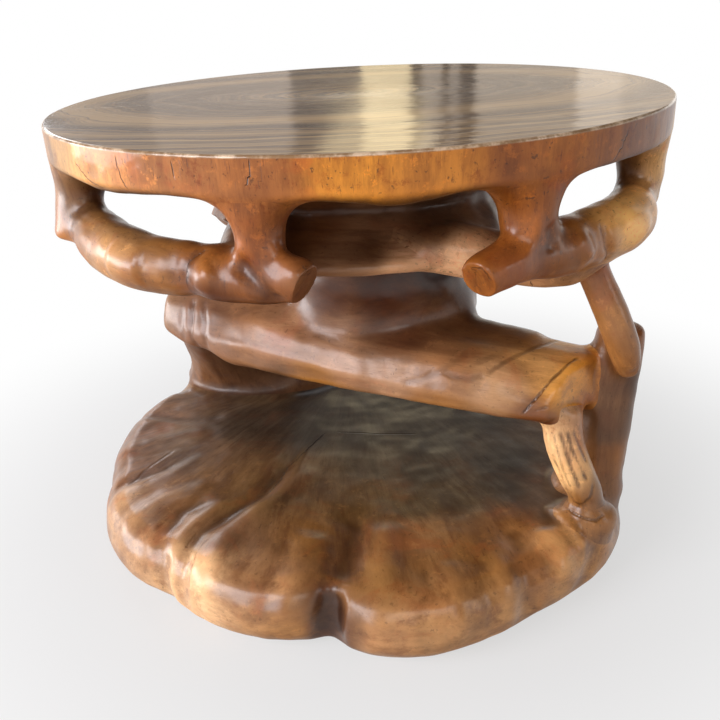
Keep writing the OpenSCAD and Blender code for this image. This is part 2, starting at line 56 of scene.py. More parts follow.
top_low, top_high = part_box("tabletop")
TOP_Z = top_high.z
TOP_R = (top_high.x - top_low.x) / 2
CUT_Z = TOP_Z - 0.022  # the turned top above, the carved apron below
MEET_Z, MEET_TALL = CUT_Z - 0.014, 0.012  # where the apron starts to take the rim's radius
RIM_ROUND = 0.0022  # radius of the worn edge round the top
RIM_BAND = 0.02  # the apron's outside lies no further in from TOP_R
SECTORS = 180  # the apron is measured in sectors of 2 degrees
VOXEL = 0.0025  # mesh width of the shell
EASE = 0.5  # share of the way to its neighbours' mean that a vertex moves in a step
JOINT_BAND = 0.018  # how wide the joints are smoothed
REACH = 0.03  # distances to the pieces are measured up to here
FAR = 9.0  # stands for no distance found
PITH = (-0.010, 0.025)  # middle of the year rings of the top

# ---------------- carving, all places in mm

# grooves of the short strut, both carved and drawn dark
GROOVES = [
    [(173, -187, 169), (179, -194, 149), (185, -198, 130), (193, -202, 111)],
    [(180, -188, 169), (185, -193, 150), (193, -196, 132), (199, -200, 119)],
    [(187, -187, 168), (192, -190, 153), (199, -193, 136)],
]

# points, half width, height along the normal (minus cuts in)
STROKES = [
    # folds of the root slab, from its middle out over the edge
    ([(-74, -4, 70), (-101, -69, 70), (-122, -128, 70), (-150, -152, 70), (-176, -180, 70),
      (-188, -216, 66), (-193, -236, 30), (-193, -238, 6)], 18, -4.2),
    ([(-60, -60, 70), (-92, -108, 70), (-122, -148, 70), (-146, -190, 70), (-158, -230, 64),
      (-164, -254, 30)], 24, 4.2),
    ([(-175, -120, 70), (-201, -144, 70), (-213, -180, 68), (-213, -204, 56), (-211, -216, 22),
      (-211, -217, 4)], 17, -4.4),
    ([(-170, -95, 70), (-222, -122, 70), (-248, -152, 60), (-252, -172, 30)], 24, 3.0),
    ([(-150, -120, 70), (-182, -165, 70), (-192, -200, 66), (-196, -228, 40)], 13, 1.8),
    ([(-202, -23, 70), (-241, -65, 70), (-277, -87, 66), (-291, -98, 40)], 15, -2.6),
    ([(-177, 59, 70), (-233, 57, 70), (-276, 71, 68), (-292, 78, 44)], 18, -3.4),
    ([(-190, 20, 70), (-240, 5, 70), (-284, -10, 64), (-296, -14, 40)], 26, 2.2),
    ([(-22, -150, 70), (-27, -200, 70), (-34, -245, 68), (-44, -276, 52), (-54, -284, 20),
      (-56, -284, 4)], 24, -6.0),
    ([(-38, -262, 62), (-47, -280, 44), (-54, -286, 20), (-56, -286, -6)], 20, -4.6),
    ([(6, -175, 70), (4, -220, 70), (0, -265, 66), (-4, -296, 40), (-6, -300, 14)], 24, 4.0),
    ([(-62, -185, 70), (-72, -235, 70), (-82, -272, 60), (-88, -286, 34)], 26, 3.0),
    ([(130, -185, 70), (131, -222, 70), (129, -250, 67), (133, -274, 36), (136, -280, 8)],
      22, -5.2),
    ([(214, -209, 56), (203, -228, 42), (187, -244, 16)], 16, -3.4),
    ([(36, -241, 70), (37, -280, 68), (38, -311, 36), (38, -312, 10)], 15, -1.8),
    ([(91, -236, 70), (94, -282, 60), (100, -293, 30)], 17, -2.2),
    ([(160, -200, 70), (168, -232, 66), (170, -250, 40)], 24, 4.0),
    ([(62, -240, 70), (64, -290, 62), (68, -306, 32)], 18, 2.2),
    ([(-240, 130, 70), (-262, 150, 60), (-276, 160, 30)], 18, -3.5),
    ([(-130, 240, 70), (-140, 270, 60), (-150, 282, 30)], 18, -4.5),
    ([(40, 240, 70), (46, 280, 60), (50, 292, 30)], 18, -4.5),
    ([(190, 170, 70), (216, 196, 60), (228, 206, 30)], 18, -4.5),
    ([(240, 20, 70), (276, 26, 60), (288, 28, 30)], 18, -4.0),
    # ridge that runs from the collar down over the slab
    ([(171, -165, 70), (174, -176, 72), (178, -190, 76), (183, -206, 76), (190, -217, 68),
      (198, -222, 56)], 8, 3.6),
    # full flank of the leaning log, its arris and the hollow cut below it
    ([(-165, -30, 240), (-110, -70, 236), (-40, -100, 230), (30, -124, 224), (100, -150, 216),
      (155, -168, 208)], 48, 6.0),
    ([(-175, -25, 214), (-145, -47, 213), (-109, -69, 211), (-36, -107, 204), (31, -136, 198),
      (91, -161, 193), (141, -183, 186)], 6, 1.6),
    ([(-150, -36, 192), (-111, -62, 182), (-59, -88, 177), (2, -116, 172), (60, -140, 168),
      (120, -164, 164)], 18, -5.5),
    # full back of the log
    ([(80, -60, 240), (119, -81, 236), (151, -99, 232), (173, -115, 230)], 36, 6.0),
    # grooves beside the log's left knob
    ([(-190, 10, 250), (-194, -4, 232), (-194, -12, 205), (-188, -20, 190)], 6, -3.4),
    ([(-178, 0, 250), (-177, -20, 228), (-178, -28, 200), (-170, -34, 186)], 5, -2.6),
    ([(-206, 8, 246), (-208, 2, 222), (-204, -4, 200)], 5, -1.8),
    # grooves of the short strut, and the step under the tongue it ends in
    (GROOVES[0], 3.6, -2.6),
    (GROOVES[1], 3.6, -2.6),
    (GROOVES[2], 3.2, -2.0),
    ([(166, -187, 141), (175, -193, 116), (181, -193, 101), (188, -196, 90), (197, -203, 91),
      (206, -203, 103)], 6, -2.6),
    # tongue of the curved strut
    ([(220, -172, 236), (228, -172, 221), (241, -170, 211), (251, -168, 222)], 6, -2.6),
    # ends of the limbs: a step where each foot bar's bulb laps its limb, and swells of both
    ([(-141, -257, 352), (-141, -258, 361), (-139, -256, 369), (-134, -252, 376),
      (-122, -249, 381)], 7, -3.4),
    ([(-126, -262, 352), (-124, -266, 362), (-117, -268, 370)], 15, 3.4),
    ([(-212, -203, 366), (-195, -220, 362), (-178, -234, 362)], 24, 3.6),
    ([(-152, -247, 384), (-150, -248, 366), (-150, -247, 352)], 13, -2.4),
    ([(188, -214, 378), (192, -219, 368), (193, -218, 356), (197, -204, 340)], 7, -3.2),
    ([(160, -247, 374), (170, -242, 364), (174, -236, 352)], 14, 3.0),
    ([(215, -198, 378), (226, -188, 366), (232, -178, 352)], 22, 3.0),
    # ridge down the front right post into its foot bar, and the hollow behind it
    ([(124, -269, 404), (125, -267, 390), (122, -268, 376), (114, -277, 369), (104, -284, 367),
      (91, -291, 365)], 8, 2.6),
    ([(137, -261, 390), (138, -258, 378), (136, -261, 366)], 11, -3.4),
    # the front left foot bar: its right branch runs down to the sawn end, with a hollow to its left
    ([(-72, -280, 393), (-66, -279, 383), (-59, -286, 376), (-52, -294, 370), (-47, -284, 358)],
      12, 2.6),
    ([(-98, -272, 380), (-92, -278, 372), (-86, -282, 365), (-78, -286, 358), (-70, -287, 350),
      (-68, -284, 344)], 12, -4.6),
    # waist of the front left post
    ([(-112, -262, 392), (-116, -262, 380)], 12, -2.0),
    # knobs on the outside of the stump
    ([(262, -140, 118), (262, -136, 112)], 7, 4.0),
    ([(258, -146, 104), (257, -142, 98)], 6, 3.0),
]

# thin dark lines: width in mm, strength, points
LINES = [
    # checks in the slab
    (1.3, 1.0, [(-55, 2, 70), (-78, -35, 70), (-98, -68, 70), (-107, -99, 70), (-118, -123, 70)]),
    (1.6, 0.5, [(-118, -123, 70), (-146, -147, 70), (-169, -169, 70)]),
    (1.4, 0.55, [(-42, 3, 70), (6, -7, 70), (53, -11, 70)]),
    (3.0, 0.35, [(-232, -20, 70), (-252, -52, 70), (-268, -84, 68), (-276, -98, 60)]),
    (2.4, 0.35, [(-214, -30, 70), (-238, -66, 70), (-262, -100, 68), (-270, -112, 58)]),
    (2.8, 0.55, [(-178, -176, 70), (-190, -210, 68), (-194, -230, 50), (-194, -236, 30)]),
    (2.2, 0.40, [(-168, -192, 70), (-178, -222, 66), (-182, -240, 46)]),
    # joints of the limbs, checks in the right arm and the apron
    (1.8, 0.6, [(-140, -256, 352), (-141, -258, 361), (-139, -256, 369), (-134, -252, 376),
        (-122, -249, 381)]),
    (1.6, 0.4, [(187, -216, 377), (191, -220, 368), (192, -219, 356), (196, -206, 340)]),
    (1.0, 0.8, [(138, -196, 322), (138, -196, 312)]),
    (0.9, 0.9, [(-183, -237, 449), (-182, -238, 436), (-177, -241, 424)]),
    (0.8, 0.8, [(-136, -266, 450), (-135, -266, 438)]),
    (0.9, 1.0, [(-79, -289, 452), (-80, -289, 440), (-83, -288, 434)]),
    (1.2, 0.7, [(203, -221, 448), (197, -226, 436), (186, -234, 424)]),
    (1.4, 0.6, [(-230, -195, 440), (-215, -208, 428), (-200, -222, 420)]),
    # grooves of the short strut and the tongue it ends in
    (2.2, 0.55, [(168, -185, 166), (172, -191, 148), (178, -195, 128), (185, -199, 110)]),
    (3.0, 0.75, GROOVES[0]),
    (2.6, 0.8, GROOVES[1]),
    (2.4, 0.55, GROOVES[2]),
    # this line is painted shadow along the step under the tongue
    (2.6, 0.6, [(168, -187, 141), (176, -193, 118), (182, -193, 103), (188, -196, 93),
        (196, -203, 94), (203, -203, 104), (206, -198, 119)]),
    # ring where the collar meets the slab's ridge
    (2.2, 0.6, [(184, -189, 83), (189, -201, 84), (198, -207, 82), (208, -209, 80),
        (217, -203, 83)]),
    # tongue of the curved strut
    (2.2, 0.7, [(222, -172, 238), (229, -172, 223), (241, -170, 214), (249, -169, 222),
        (250, -167, 238)]),
    # round the log's sawn end
    (2.2, 0.85, [(137, -182, 184), (145, -182, 194), (152, -180, 201), (160, -176, 209),
        (168, -170, 214), (177, -164, 219), (189, -152, 222), (199, -145, 224)]),
    # this line is a painted shadow under the sawn face
    (2.6, 0.5, [(147, -184, 189), (158, -187, 194), (170, -180, 193), (183, -169, 191),
        (199, -156, 189), (211, -147, 188)]),
    # veins in the log
    (3.6, 0.5, [(190, -106, 224), (180, -113, 226), (171, -123, 228), (159, -130, 229),
        (149, -137, 228), (141, -142, 228), (132, -147, 226), (124, -152, 224), (117, -156, 221),
        (107, -159, 216)]),
    (5.0, 0.30, [(107, -159, 216), (93, -157, 212), (79, -153, 213), (66, -146, 216)]),
    (6.0, 0.30, [(96, -134, 230), (80, -143, 224), (66, -146, 216), (47, -143, 207),
        (28, -138, 201)]),
    (7.0, 0.26, [(-70, -84, 244), (-39, -94, 232), (-10, -109, 224), (19, -122, 219),
        (48, -132, 221)]),
    (5.0, 0.28, [(150, -128, 236), (128, -140, 233), (108, -146, 226), (84, -150, 212),
        (64, -150, 200)]),
    # edges of the foot bars' sawn ends
    (1.8, 0.55, [(73, -285, 354), (74, -287, 364), (82, -289, 367), (89, -290, 358)]),
    (1.4, 0.6, [(-42, -290, 348), (-40, -290, 358), (-43, -290, 369), (-50, -288, 372)]),
]

# flat cuts at the ends of the foot bars and the log, and below the crown's left end:
# the piece, a point on the face in mm, its outward normal, reach across and up in mm
SAWN = [
    ("front_right_post", (82, -287, 362), (-0.66, -0.66, -0.36), 34, 34),
    ("front_left_post", (-47, -284, 361), (0.80, -0.45, -0.40), 34, 34),
    ("leaning_log", (187.5, -166, 209.6), (0.62, -0.76, 0.16), 84, 56),
    ("leaning_log", (184, -175, 181), (0.30, -0.50, -0.81), 64, 36),
    ("crown_block", (-134, -84, 358), (-0.52, -0.30, -0.80), 100, 90),
]

# colour of the wood with painted highlights and painted shade, by group: place in mm, then red,
# green and blue in thousandths
TONES_WITH_PAINTED_LIGHT = {}
TONES_WITH_PAINTED_LIGHT["rim"] = [
    # apron, from the left round the front and the back; its pale place on the left is a painted
    # highlight
    (-286, -90, 430, 520, 260, 90), (-243, -175, 445, 540, 330, 150),
    (-219, -203, 436, 760, 400, 140), (-170, -248, 432, 560, 250, 90),
    (-120, -274, 440, 400, 170, 70), (-79, -289, 442, 380, 150, 55), (-11, -299, 441, 760, 330, 50),
    (57, -293, 433, 560, 230, 45), (108, -279, 441, 340, 120, 30), (150, -258, 436, 440, 160, 25),
    (173, -243, 438, 320, 110, 20), (215, -208, 437, 270, 90, 15), (256, -155, 446, 290, 110, 30),
    (290, -60, 436, 340, 120, 30), (240, 180, 436, 440, 170, 40), (0, 300, 436, 400, 150, 35),
    (-240, 180, 436, 460, 190, 50), (-300, 40, 436, 420, 170, 40),
    # front left post and its foot bar; the bulb's underside is darkened as painted shade
    (-90, -285, 405, 330, 120, 40), (-85, -280, 385, 360, 120, 30), (-95, -280, 352, 240, 90, 30),
    (-57, -291, 374, 270, 110, 50), (-84, -283, 362, 200, 80, 30), (-43, -290, 361, 160, 70, 35),
    (-133, -255, 360, 120, 35, 10), (-110, -268, 345, 70, 20, 6), (-120, -266, 352, 80, 22, 7),
    (-80, -275, 345, 90, 30, 10), (-126, -262, 372, 460, 200, 70),
    # front right post and its foot bar
    (125, -262, 405, 360, 120, 20), (122, -268, 385, 340, 120, 30), (100, -285, 368, 280, 90, 30),
    (76, -291, 361, 320, 120, 25), (147, -255, 372, 220, 90, 30), (180, -228, 355, 340, 140, 35),
    # left post
    (-279, -101, 397, 420, 210, 85), (-250, -120, 383, 160, 85, 45), (-252, -112, 400, 130, 70, 40),
    (-270, -115, 358, 440, 200, 80),
    # left limb, lighter on top as a painted highlight and darker below as painted shade
    (-208, -206, 374, 660, 400, 240), (-170, -241, 354, 290, 135, 45),
    (-200, -190, 384, 220, 120, 60), (-165, -232, 378, 260, 130, 55),
    # right limb and right post, their upper faces lightened as painted highlights
    (217, -198, 369, 1000, 620, 300), (255, -140, 352, 400, 170, 55),
    (248, -150, 384, 950, 570, 270), (270, -110, 392, 1000, 680, 400),
    (276, -104, 412, 1000, 660, 360), (236, -118, 392, 220, 110, 60),
    # rear posts
    (-185, 200, 385, 380, 150, 45), (205, 180, 385, 380, 150, 45),
]
TONES_WITH_PAINTED_LIGHT["crown"] = [
    # crown block, from left to right: its dark wall is painted shade under the top, its pale lower
    # lip a painted highlight
    (-143, -72, 357, 340, 180, 100), (-60, -150, 370, 120, 45, 15), (13, -185, 350, 100, 40, 15),
    (30, -188, 332, 850, 540, 360), (80, -186, 328, 1000, 650, 430), (60, -170, 362, 90, 40, 18),
    (110, -190, 324, 640, 370, 220), (140, -190, 317, 620, 360, 200),
    (170, -200, 320, 420, 220, 100), (150, -100, 350, 140, 60, 25),
    # back and arms
    (0, 100, 350, 200, 80, 30), (-120, 150, 360, 300, 130, 50), (140, 140, 360, 300, 130, 50),
    (200, -205, 350, 300, 130, 40),
]
TONES_WITH_PAINTED_LIGHT["log"] = [
    # log, from left to right, with the neck above it; the flank's palest places are painted
    # highlight, the neck's darkest painted shade
    (-222, 14, 220, 270, 150, 85), (-196, -5, 226, 240, 120, 70), (-150, -60, 250, 400, 200, 100),
    (-80, -95, 255, 360, 170, 90), (-36, -107, 225, 560, 330, 210), (-90, -80, 236, 500, 280, 170),
    (31, -136, 212, 580, 360, 240), (10, -103, 270, 80, 24, 8), (60, -80, 290, 45, 17, 9),
    (-40, -84, 275, 140, 50, 20), (0, -40, 300, 140, 50, 20), (110, -90, 250, 160, 70, 30),
    (40, -110, 240, 160, 65, 30), (150, -105, 236, 200, 90, 35), (60, -134, 224, 460, 240, 120),
    (120, -165, 205, 620, 380, 220), (190, -125, 228, 1000, 600, 240),
    (160, -148, 224, 800, 460, 190), (186, -165, 208, 850, 400, 60), (205, -148, 204, 700, 300, 40),
    (210, -150, 195, 340, 130, 30), (160, -178, 180, 200, 70, 25),
    # underside, darkened as painted shade under the log
    (-59, -103, 196, 420, 200, 50), (60, -152, 184, 440, 220, 80), (0, -90, 178, 40, 20, 12),
    (-140, 10, 170, 60, 30, 18), (60, -120, 172, 40, 20, 12), (120, -150, 168, 50, 25, 15),
    (-80, -60, 180, 30, 15, 10),
    # trunk, and the back of both; the trunk under the log is darkened as painted shade
    (-110, 40, 120, 50, 25, 15), (0, 60, 220, 300, 140, 60), (150, 20, 200, 320, 150, 60),
    (-150, 60, 100, 100, 50, 30), (-180, 180, 120, 260, 120, 50), (-60, 200, 100, 260, 120, 50),
]
TONES_WITH_PAINTED_LIGHT["slab"] = [
    # dark middle, partly patina and partly painted shade under the log and the top
    (0, -10, 70, 55, 45, 35), (70, -30, 70, 50, 42, 34), (140, -80, 70, 50, 42, 34),
    (-60, 10, 70, 45, 36, 28), (-60, 80, 70, 40, 30, 22), (0, -70, 70, 100, 75, 50),
    (70, -90, 70, 85, 68, 48), (130, -130, 70, 70, 55, 40), (90, -150, 70, 120, 90, 55),
    (40, -150, 70, 160, 115, 60), (-20, -150, 70, 210, 130, 55), (40, -200, 70, 380, 210, 90),
    (-80, -120, 70, 170, 105, 55), (120, 40, 70, 50, 40, 30), (20, 80, 70, 30, 25, 20),
    (-160, 30, 70, 75, 55, 42),
    # lobes, from the left round the front to the right; the palest places on their shoulders are
    # painted highlights, the dark one beside the collar's ridge painted shade
    (-202, -23, 70, 190, 115, 70), (-277, -60, 66, 260, 130, 65), (-175, -110, 70, 280, 155, 70),
    (-240, -120, 66, 560, 340, 190), (-226, -160, 60, 460, 270, 150),
    (-145, -120, 70, 240, 140, 55), (-150, -190, 70, 240, 130, 70),
    (-169, -236, 54, 1000, 680, 420), (-60, -200, 70, 300, 145, 40),
    (-110, -255, 60, 400, 220, 110), (-90, -275, 24, 430, 220, 80), (-25, -215, 70, 200, 90, 30),
    (-40, -270, 40, 110, 45, 20), (-52, -284, 14, 80, 30, 15), (0, -255, 68, 360, 190, 70),
    (30, -230, 70, 420, 220, 85), (50, -290, 55, 420, 220, 90), (10, -300, 30, 460, 250, 120),
    (60, -306, 24, 460, 260, 120), (95, -240, 70, 340, 170, 55), (110, -275, 45, 500, 270, 110),
    (131, -250, 60, 240, 100, 35), (150, -205, 70, 440, 220, 80), (168, -225, 62, 700, 400, 180),
    (150, -190, 70, 300, 150, 60), (168, -183, 72, 100, 60, 35), (190, -240, 30, 480, 240, 70),
    (220, -180, 66, 440, 200, 50), (260, -120, 40, 220, 130, 60), (170, -150, 70, 130, 85, 55),
    # back
    (260, 60, 50, 300, 150, 60), (150, 240, 50, 320, 160, 60), (0, 280, 50, 300, 150, 55),
    (-200, 220, 50, 320, 170, 70), (-290, 60, 50, 280, 150, 80), (80, 150, 70, 120, 80, 45),
    (-120, 160, 70, 140, 90, 50),
]
TONES_WITH_PAINTED_LIGHT["strut"] = [
    # curved strut
    (206, -168, 310, 400, 190, 90), (218, -173, 272, 440, 220, 90), (235, -176, 235, 360, 170, 60),
    (258, -150, 235, 260, 100, 30),
    # stump
    (245, -140, 190, 100, 50, 30), (235, -150, 150, 130, 65, 35), (240, -150, 110, 360, 160, 55),
    (250, -130, 80, 240, 110, 50),
    # grooved strut and collar; the strut's palest places are a painted highlight
    (170, -188, 160, 1000, 680, 410), (184, -198, 125, 1000, 660, 360),
    (200, -185, 165, 500, 270, 160), (205, -205, 95, 280, 130, 40), (215, -200, 78, 320, 150, 50),
    (250, -110, 160, 300, 140, 60),
]

# tint of each group's colours
TINT = {
    "rim": (1.06, 0.92, 0.62), "crown": (1.05, 0.92, 0.75), "log": (1.02, 0.93, 0.78),
    "slab": (1.14, 1.04, 0.88), "strut": (1.0, 0.9, 0.72),
}

# each piece's colour group, and its grain: an axis in mm, "ring" round the table for the bent
# limbs, "apron" upright round the table for the top, "fan" out from FAN for the slab
PIECES = {
    "front_left_post": ("rim", [(-80, -272, 420), (-88, -270, 330)]),
    "front_right_post": ("rim", [(125, -252, 420), (128, -250, 330)]),
    "left_post": ("rim", [(-270, -98, 420), (-262, -95, 350)]),
    "right_post": ("rim", [(262, -98, 420), (262, -98, 350)]),
    "rear_left_post": ("rim", [(-190, 210, 420), (-190, 210, 350)]),
    "rear_right_post": ("rim", [(210, 190, 420), (210, 190, 350)]),
    "left_limb": ("rim", "ring"),
    "right_limb": ("rim", "ring"),
    "left_arm": ("crown", [(-60, -110, 360), (-122, -246, 360)]),
    "right_arm": ("crown", [(72, -101, 350), (215, -213, 330)]),
    "rear_left_arm": ("crown", [(-59, 78, 360), (-195, 213, 360)]),
    "rear_right_arm": ("crown", [(69, 62, 360), (213, 195, 360)]),
    "crown_block": ("crown", [(-200, -30, 330), (200, -60, 330)]),
    "leaning_log": ("log", [(-230, 10, 240), (240, -150, 215)]),
    "rear_trunk": ("log", [(-134, 180, 40), (-182, 62, 230)]),
    "right_stump": ("strut", [(222, -132, 50), (244, -124, 246)]),
    "curved_strut": ("strut", [(190, -150, 345), (240, -160, 205)]),
    "grooved_strut": ("strut", [(172, -180, 188), (208, -190, 84)]),
    "collar_pad": ("strut", [(206, -188, 40), (206, -188, 90)]),
    "tabletop": ("rim", "apron"),
    "root_slab": ("slab", "fan"),
}
FAN = (-20, 200)
FAN_R = 0.26  # metres of the slab's grain across one radian

# inner corners that are carved into a sweep: place and reach in mm
SWEEPS = [
    (-112, -272, 380, 24), (-70, -278, 380, 24), (102, -272, 380, 26), (146, -250, 380, 22),
    (-255, -122, 372, 24), (256, -124, 372, 22), (60, -90, 290, 40), (-40, -90, 290, 34),
    (226, -150, 110, 24), (-150, 60, 190, 40), (-130, 120, 75, 40),
]

# wider sweeps, where the neck runs into the log and the log into the trunk
BROAD = [
    (-66, -62, 262, 34), (-46, -80, 254, 36), (-20, -90, 248, 38), (10, -92, 246, 38),
    (40, -92, 248, 38), (66, -88, 252, 36), (90, -76, 256, 34), (108, -60, 258, 34),
    (-205, 40, 205, 30), (-170, -10, 190, 30), (-100, -70, 330, 30), (96, -90, 330, 30),
]


def mm(values):
    """Millimetres as metres, thousandths as ones."""
    return np.array(values, float) / 1000


def smoothstep(x):
    x = np.clip(x, 0, 1)
    return x * x * (3 - 2 * x)


def dot(a, b):
    return np.einsum("ij,ij->i", a, b)


def add(name, data):
    """Puts an object with this data in the scene."""
    o = bpy.data.objects.new(name, data)
    bpy.context.scene.collection.objects.link(o)
    return o


# ---------------- shell of the whole table


def fetch(items, key, width, kind=float):
    """One property of a mesh's items, as an array of rows."""
    values = np.empty(len(items) * width, kind)
    items.foreach_get(key, values)
    return values.reshape(-1, width)


def arrays(mesh):
    """Vertices and triangles of a mesh."""
    mesh.calc_loop_triangles()
    return fetch(mesh.vertices, "co", 3), fetch(mesh.loop_triangles, "vertices", 3, np.int32)


def union():
    """All CAD solids as one closed mesh of even quads: its vertices, quads and edges."""
    points, faces, count = [], [], 0
    for o in NODES.values():
        co, tris = arrays(o.data)
        points.append(co)
        faces.append(tris + count)
        count += len(co)
    mesh = bpy.data.meshes.new("union")
    mesh.from_pydata(np.vstack(points).tolist(), [], np.vstack(faces).tolist())
    o = add("union", mesh)
    m = o.modifiers.new("remesh", "REMESH")
    m.mode = "VOXEL"
    m.voxel_size = VOXEL
    graph = bpy.context.evaluated_depsgraph_get()
    made = bpy.data.meshes.new_from_object(o.evaluated_get(graph))
    bpy.data.objects.remove(o)
    co = fetch(made.vertices, "co", 3)
    quads = fetch(made.polygons, "vertices", 4, np.int32)
    edges = fetch(made.edges, "vertices", 2, np.int32)
    bpy.data.meshes.remove(made)
    return co, quads, edges


def spread(values, edges):
    """Mean of each vertex's neighbours."""
    a, b, count = edges[:, 0], edges[:, 1], len(values)
    degree = np.bincount(a, minlength=count) + np.bincount(b, minlength=count)
    total = [np.bincount(a, v[b], count) + np.bincount(b, v[a], count) for v in values.T]
    return np.stack(total, 1) / np.maximum(degree, 1)[:, None]


def relax(co, edges, weight, steps):
    """Smooths the vertices by their weight, which fills creases and takes the facets off."""
    used, local = np.unique(edges[(weight[edges] > 0).any(1)], return_inverse=True)
    local, part, share = local.reshape(-1, 2), co[used], weight[used][:, None]
    for _ in range(steps):
        part = part + (spread(part, local) - part) * share
    co = co.copy()
    co[used] = part
    return co


def inside(co, points, margin):
    """Indices of the vertices in the box round some points."""
    low, high = points.min(0) - margin, points.max(0) + margin
    return np.nonzero(np.all((co > low) & (co < high), 1))[0]


def distances(co):
    """Distance of each vertex to each wood node's surface, REACH at most."""
    table = np.full((len(co), len(WOOD)), REACH)
    for k, name in enumerate(WOOD):
        points, tris = arrays(NODES[name].data)
        tree = BVHTree.FromPolygons(points.tolist(), tris.tolist())
        for i in inside(co, points, REACH):
            distance = tree.find_nearest(co[i], REACH)[3]
            if distance is not None:
                table[i, k] = distance
    return table


def vertex_normals(co, quads):
    """Normal of each vertex, its faces counted by their area."""
    n = np.cross(co[quads[:, 2]] - co[quads[:, 0]], co[quads[:, 3]] - co[quads[:, 1]])
    total = np.zeros_like(co)
    for corner in quads.T:
        total += np.stack([np.bincount(corner, v, len(co)) for v in n.T], 1)
    return total / np.maximum(np.linalg.norm(total, axis=1), 1e-12)[:, None]


def along(co, points):
    """For each vertex: distance to a polyline, place along it 0..1, which segment is nearest."""
    best, place = np.full(len(co), FAR), np.zeros(len(co))
    segment = np.zeros(len(co), int)
    lengths = np.linalg.norm(np.diff(points, axis=0), axis=1)
    start = np.concatenate([[0], np.cumsum(lengths)])
    for k, (a, b) in enumerate(zip(points[:-1], points[1:])):
        t = np.clip(((co - a) @ (b - a)) / lengths[k] ** 2, 0, 1)
        d = np.linalg.norm(co - (a + t[:, None] * (b - a)), axis=1)
        hit = d < best
        best[hit] = d[hit]
        place[hit] = (start[k] + t[hit] * lengths[k]) / start[-1]
        segment[hit] = k
    return best, place, segment


def tapered(t, start, end):
    """1 along a line, falling to 0 over these shares of it at its start and end."""
    return smoothstep(t / start) * smoothstep((1 - t) / end)


def carve(co, normals):
    """Folds, arrises and grooves of the photograph, pushed in or out along the surface."""
    moved = co.copy()
    for points, width, height in STROKES:
        p, w = mm(points), mm(width)
        near = inside(co, p, w)
        d, t, _ = along(co[near], p)
        push = mm(height) * smoothstep(1 - d / w) * tapered(t, start=0.18, end=0.12)
        moved[near] += normals[near] * push[:, None]
    return moved


def round_about(co, places):
    """Weight round each place: full near it, falling to nothing at its reach."""
    steep, weight = 1.6, np.zeros(len(co))
    for *place, reach in places:
        fall = steep * np.linalg.norm(co - mm(place), axis=1) / mm(reach)
        weight = np.maximum(weight, EASE * smoothstep(steep - fall))
    return weight


def apron_foot(co):
    """Weight along the lower edge of the apron, which is carved round."""
    highest, lowest, inmost, blend = 0.432, 0.385, 0.262, 0.012
    z, r = co[:, 2], np.hypot(co[:, 0], co[:, 1])
    low = smoothstep((highest - z) / blend) * smoothstep((z - lowest) / blend)
    return EASE * low * smoothstep((r - inmost) / blend)


def saw(co, owner, apart):
    """Cuts the pieces flat at the faces of SAWN, less near joints and at the end of the reach."""
    joint_blend, reach_blend = 0.008, 0.25
    for name, point, normal, across, up in SAWN:
        p, n = mm(point), np.array(normal) / np.linalg.norm(normal)
        above = (co - p) @ n
        far = np.linalg.norm((co - p) / mm((across, across, up)), axis=1)
        cut = (above > 0) & (owner == INDEX[name]) & (far < 1)
        share = smoothstep(apart / joint_blend) * smoothstep((1 - far) / reach_blend)
        co[cut] -= n * (above * share)[cut][:, None]
    return co


def swell(co, normals):
    """Slow hand-carved unevenness of every surface, none on the flat top and underside."""
    slow, quick, height, top_blend, foot_blend = 26, 61, 0.0011, 0.02, 0.01
    elsewhere = Vector((3, 7, 1))
    amount = np.array([
        noise.noise(Vector(p) * slow) + 0.45 * noise.noise(Vector(p) * quick + elsewhere)
        for p in co
    ])
    z = co[:, 2]
    shown = smoothstep((TOP_Z - 0.004 - z) / top_blend) * smoothstep(z / foot_blend)
    return co + normals * (amount * height * shown)[:, None]


def sector(angle):
    """Which sector of the round an angle lies in."""
    return ((angle + math.pi) / math.tau * SECTORS).astype(int) % SECTORS


def eased(values, steps):
    """One value for each sector, evened out with its neighbours."""
    for _ in range(steps):
        values = (np.roll(values, 1) + values * 2 + np.roll(values, -1)) / 4
    return values


def rim_radius(co, radius, angle):
    """Radius of the apron by sector, at the height where the turned top takes over."""
    band = 0.002
    outer = (np.abs(co[:, 2] - CUT_Z) < band) & (radius > TOP_R - RIM_BAND)
    here = sector(angle[outer])
    count = np.bincount(here, minlength=SECTORS)
    return eased(np.bincount(here, radius[outer], SECTORS) / np.maximum(count, 1), 4)


def rim_at(angle):
    """Radius of the turned rim at an angle."""
    x = (angle + math.pi) / math.tau * SECTORS - 0.5
    k = np.floor(x).astype(int)
    f = x - k
    return RIM[k % SECTORS] * (1 - f) + RIM[(k + 1) % SECTORS] * f


co, quads, edges = union()
everywhere = np.full(len(co), EASE)
co = relax(co, edges, everywhere, steps=8)
table = distances(co)
owner = np.argmin(table, 1)
nearest = np.sort(table, 1)
apart = nearest[:, 1] - nearest[:, 0]  # small where two pieces meet
at_joints = EASE * smoothstep(1 - apart / JOINT_BAND)
co = relax(co, edges, np.maximum(at_joints, round_about(co, SWEEPS)), steps=60)
co = relax(co, edges, round_about(co, BROAD), steps=260)
co = relax(co, edges, apron_foot(co), steps=110)
co = carve(co, vertex_normals(co, quads))
co = relax(co, edges, everywhere, steps=4)
co = saw(co, owner, apart)
co = swell(co, vertex_normals(co, quads))
co[:, 2] = np.maximum(co[:, 2], 0)

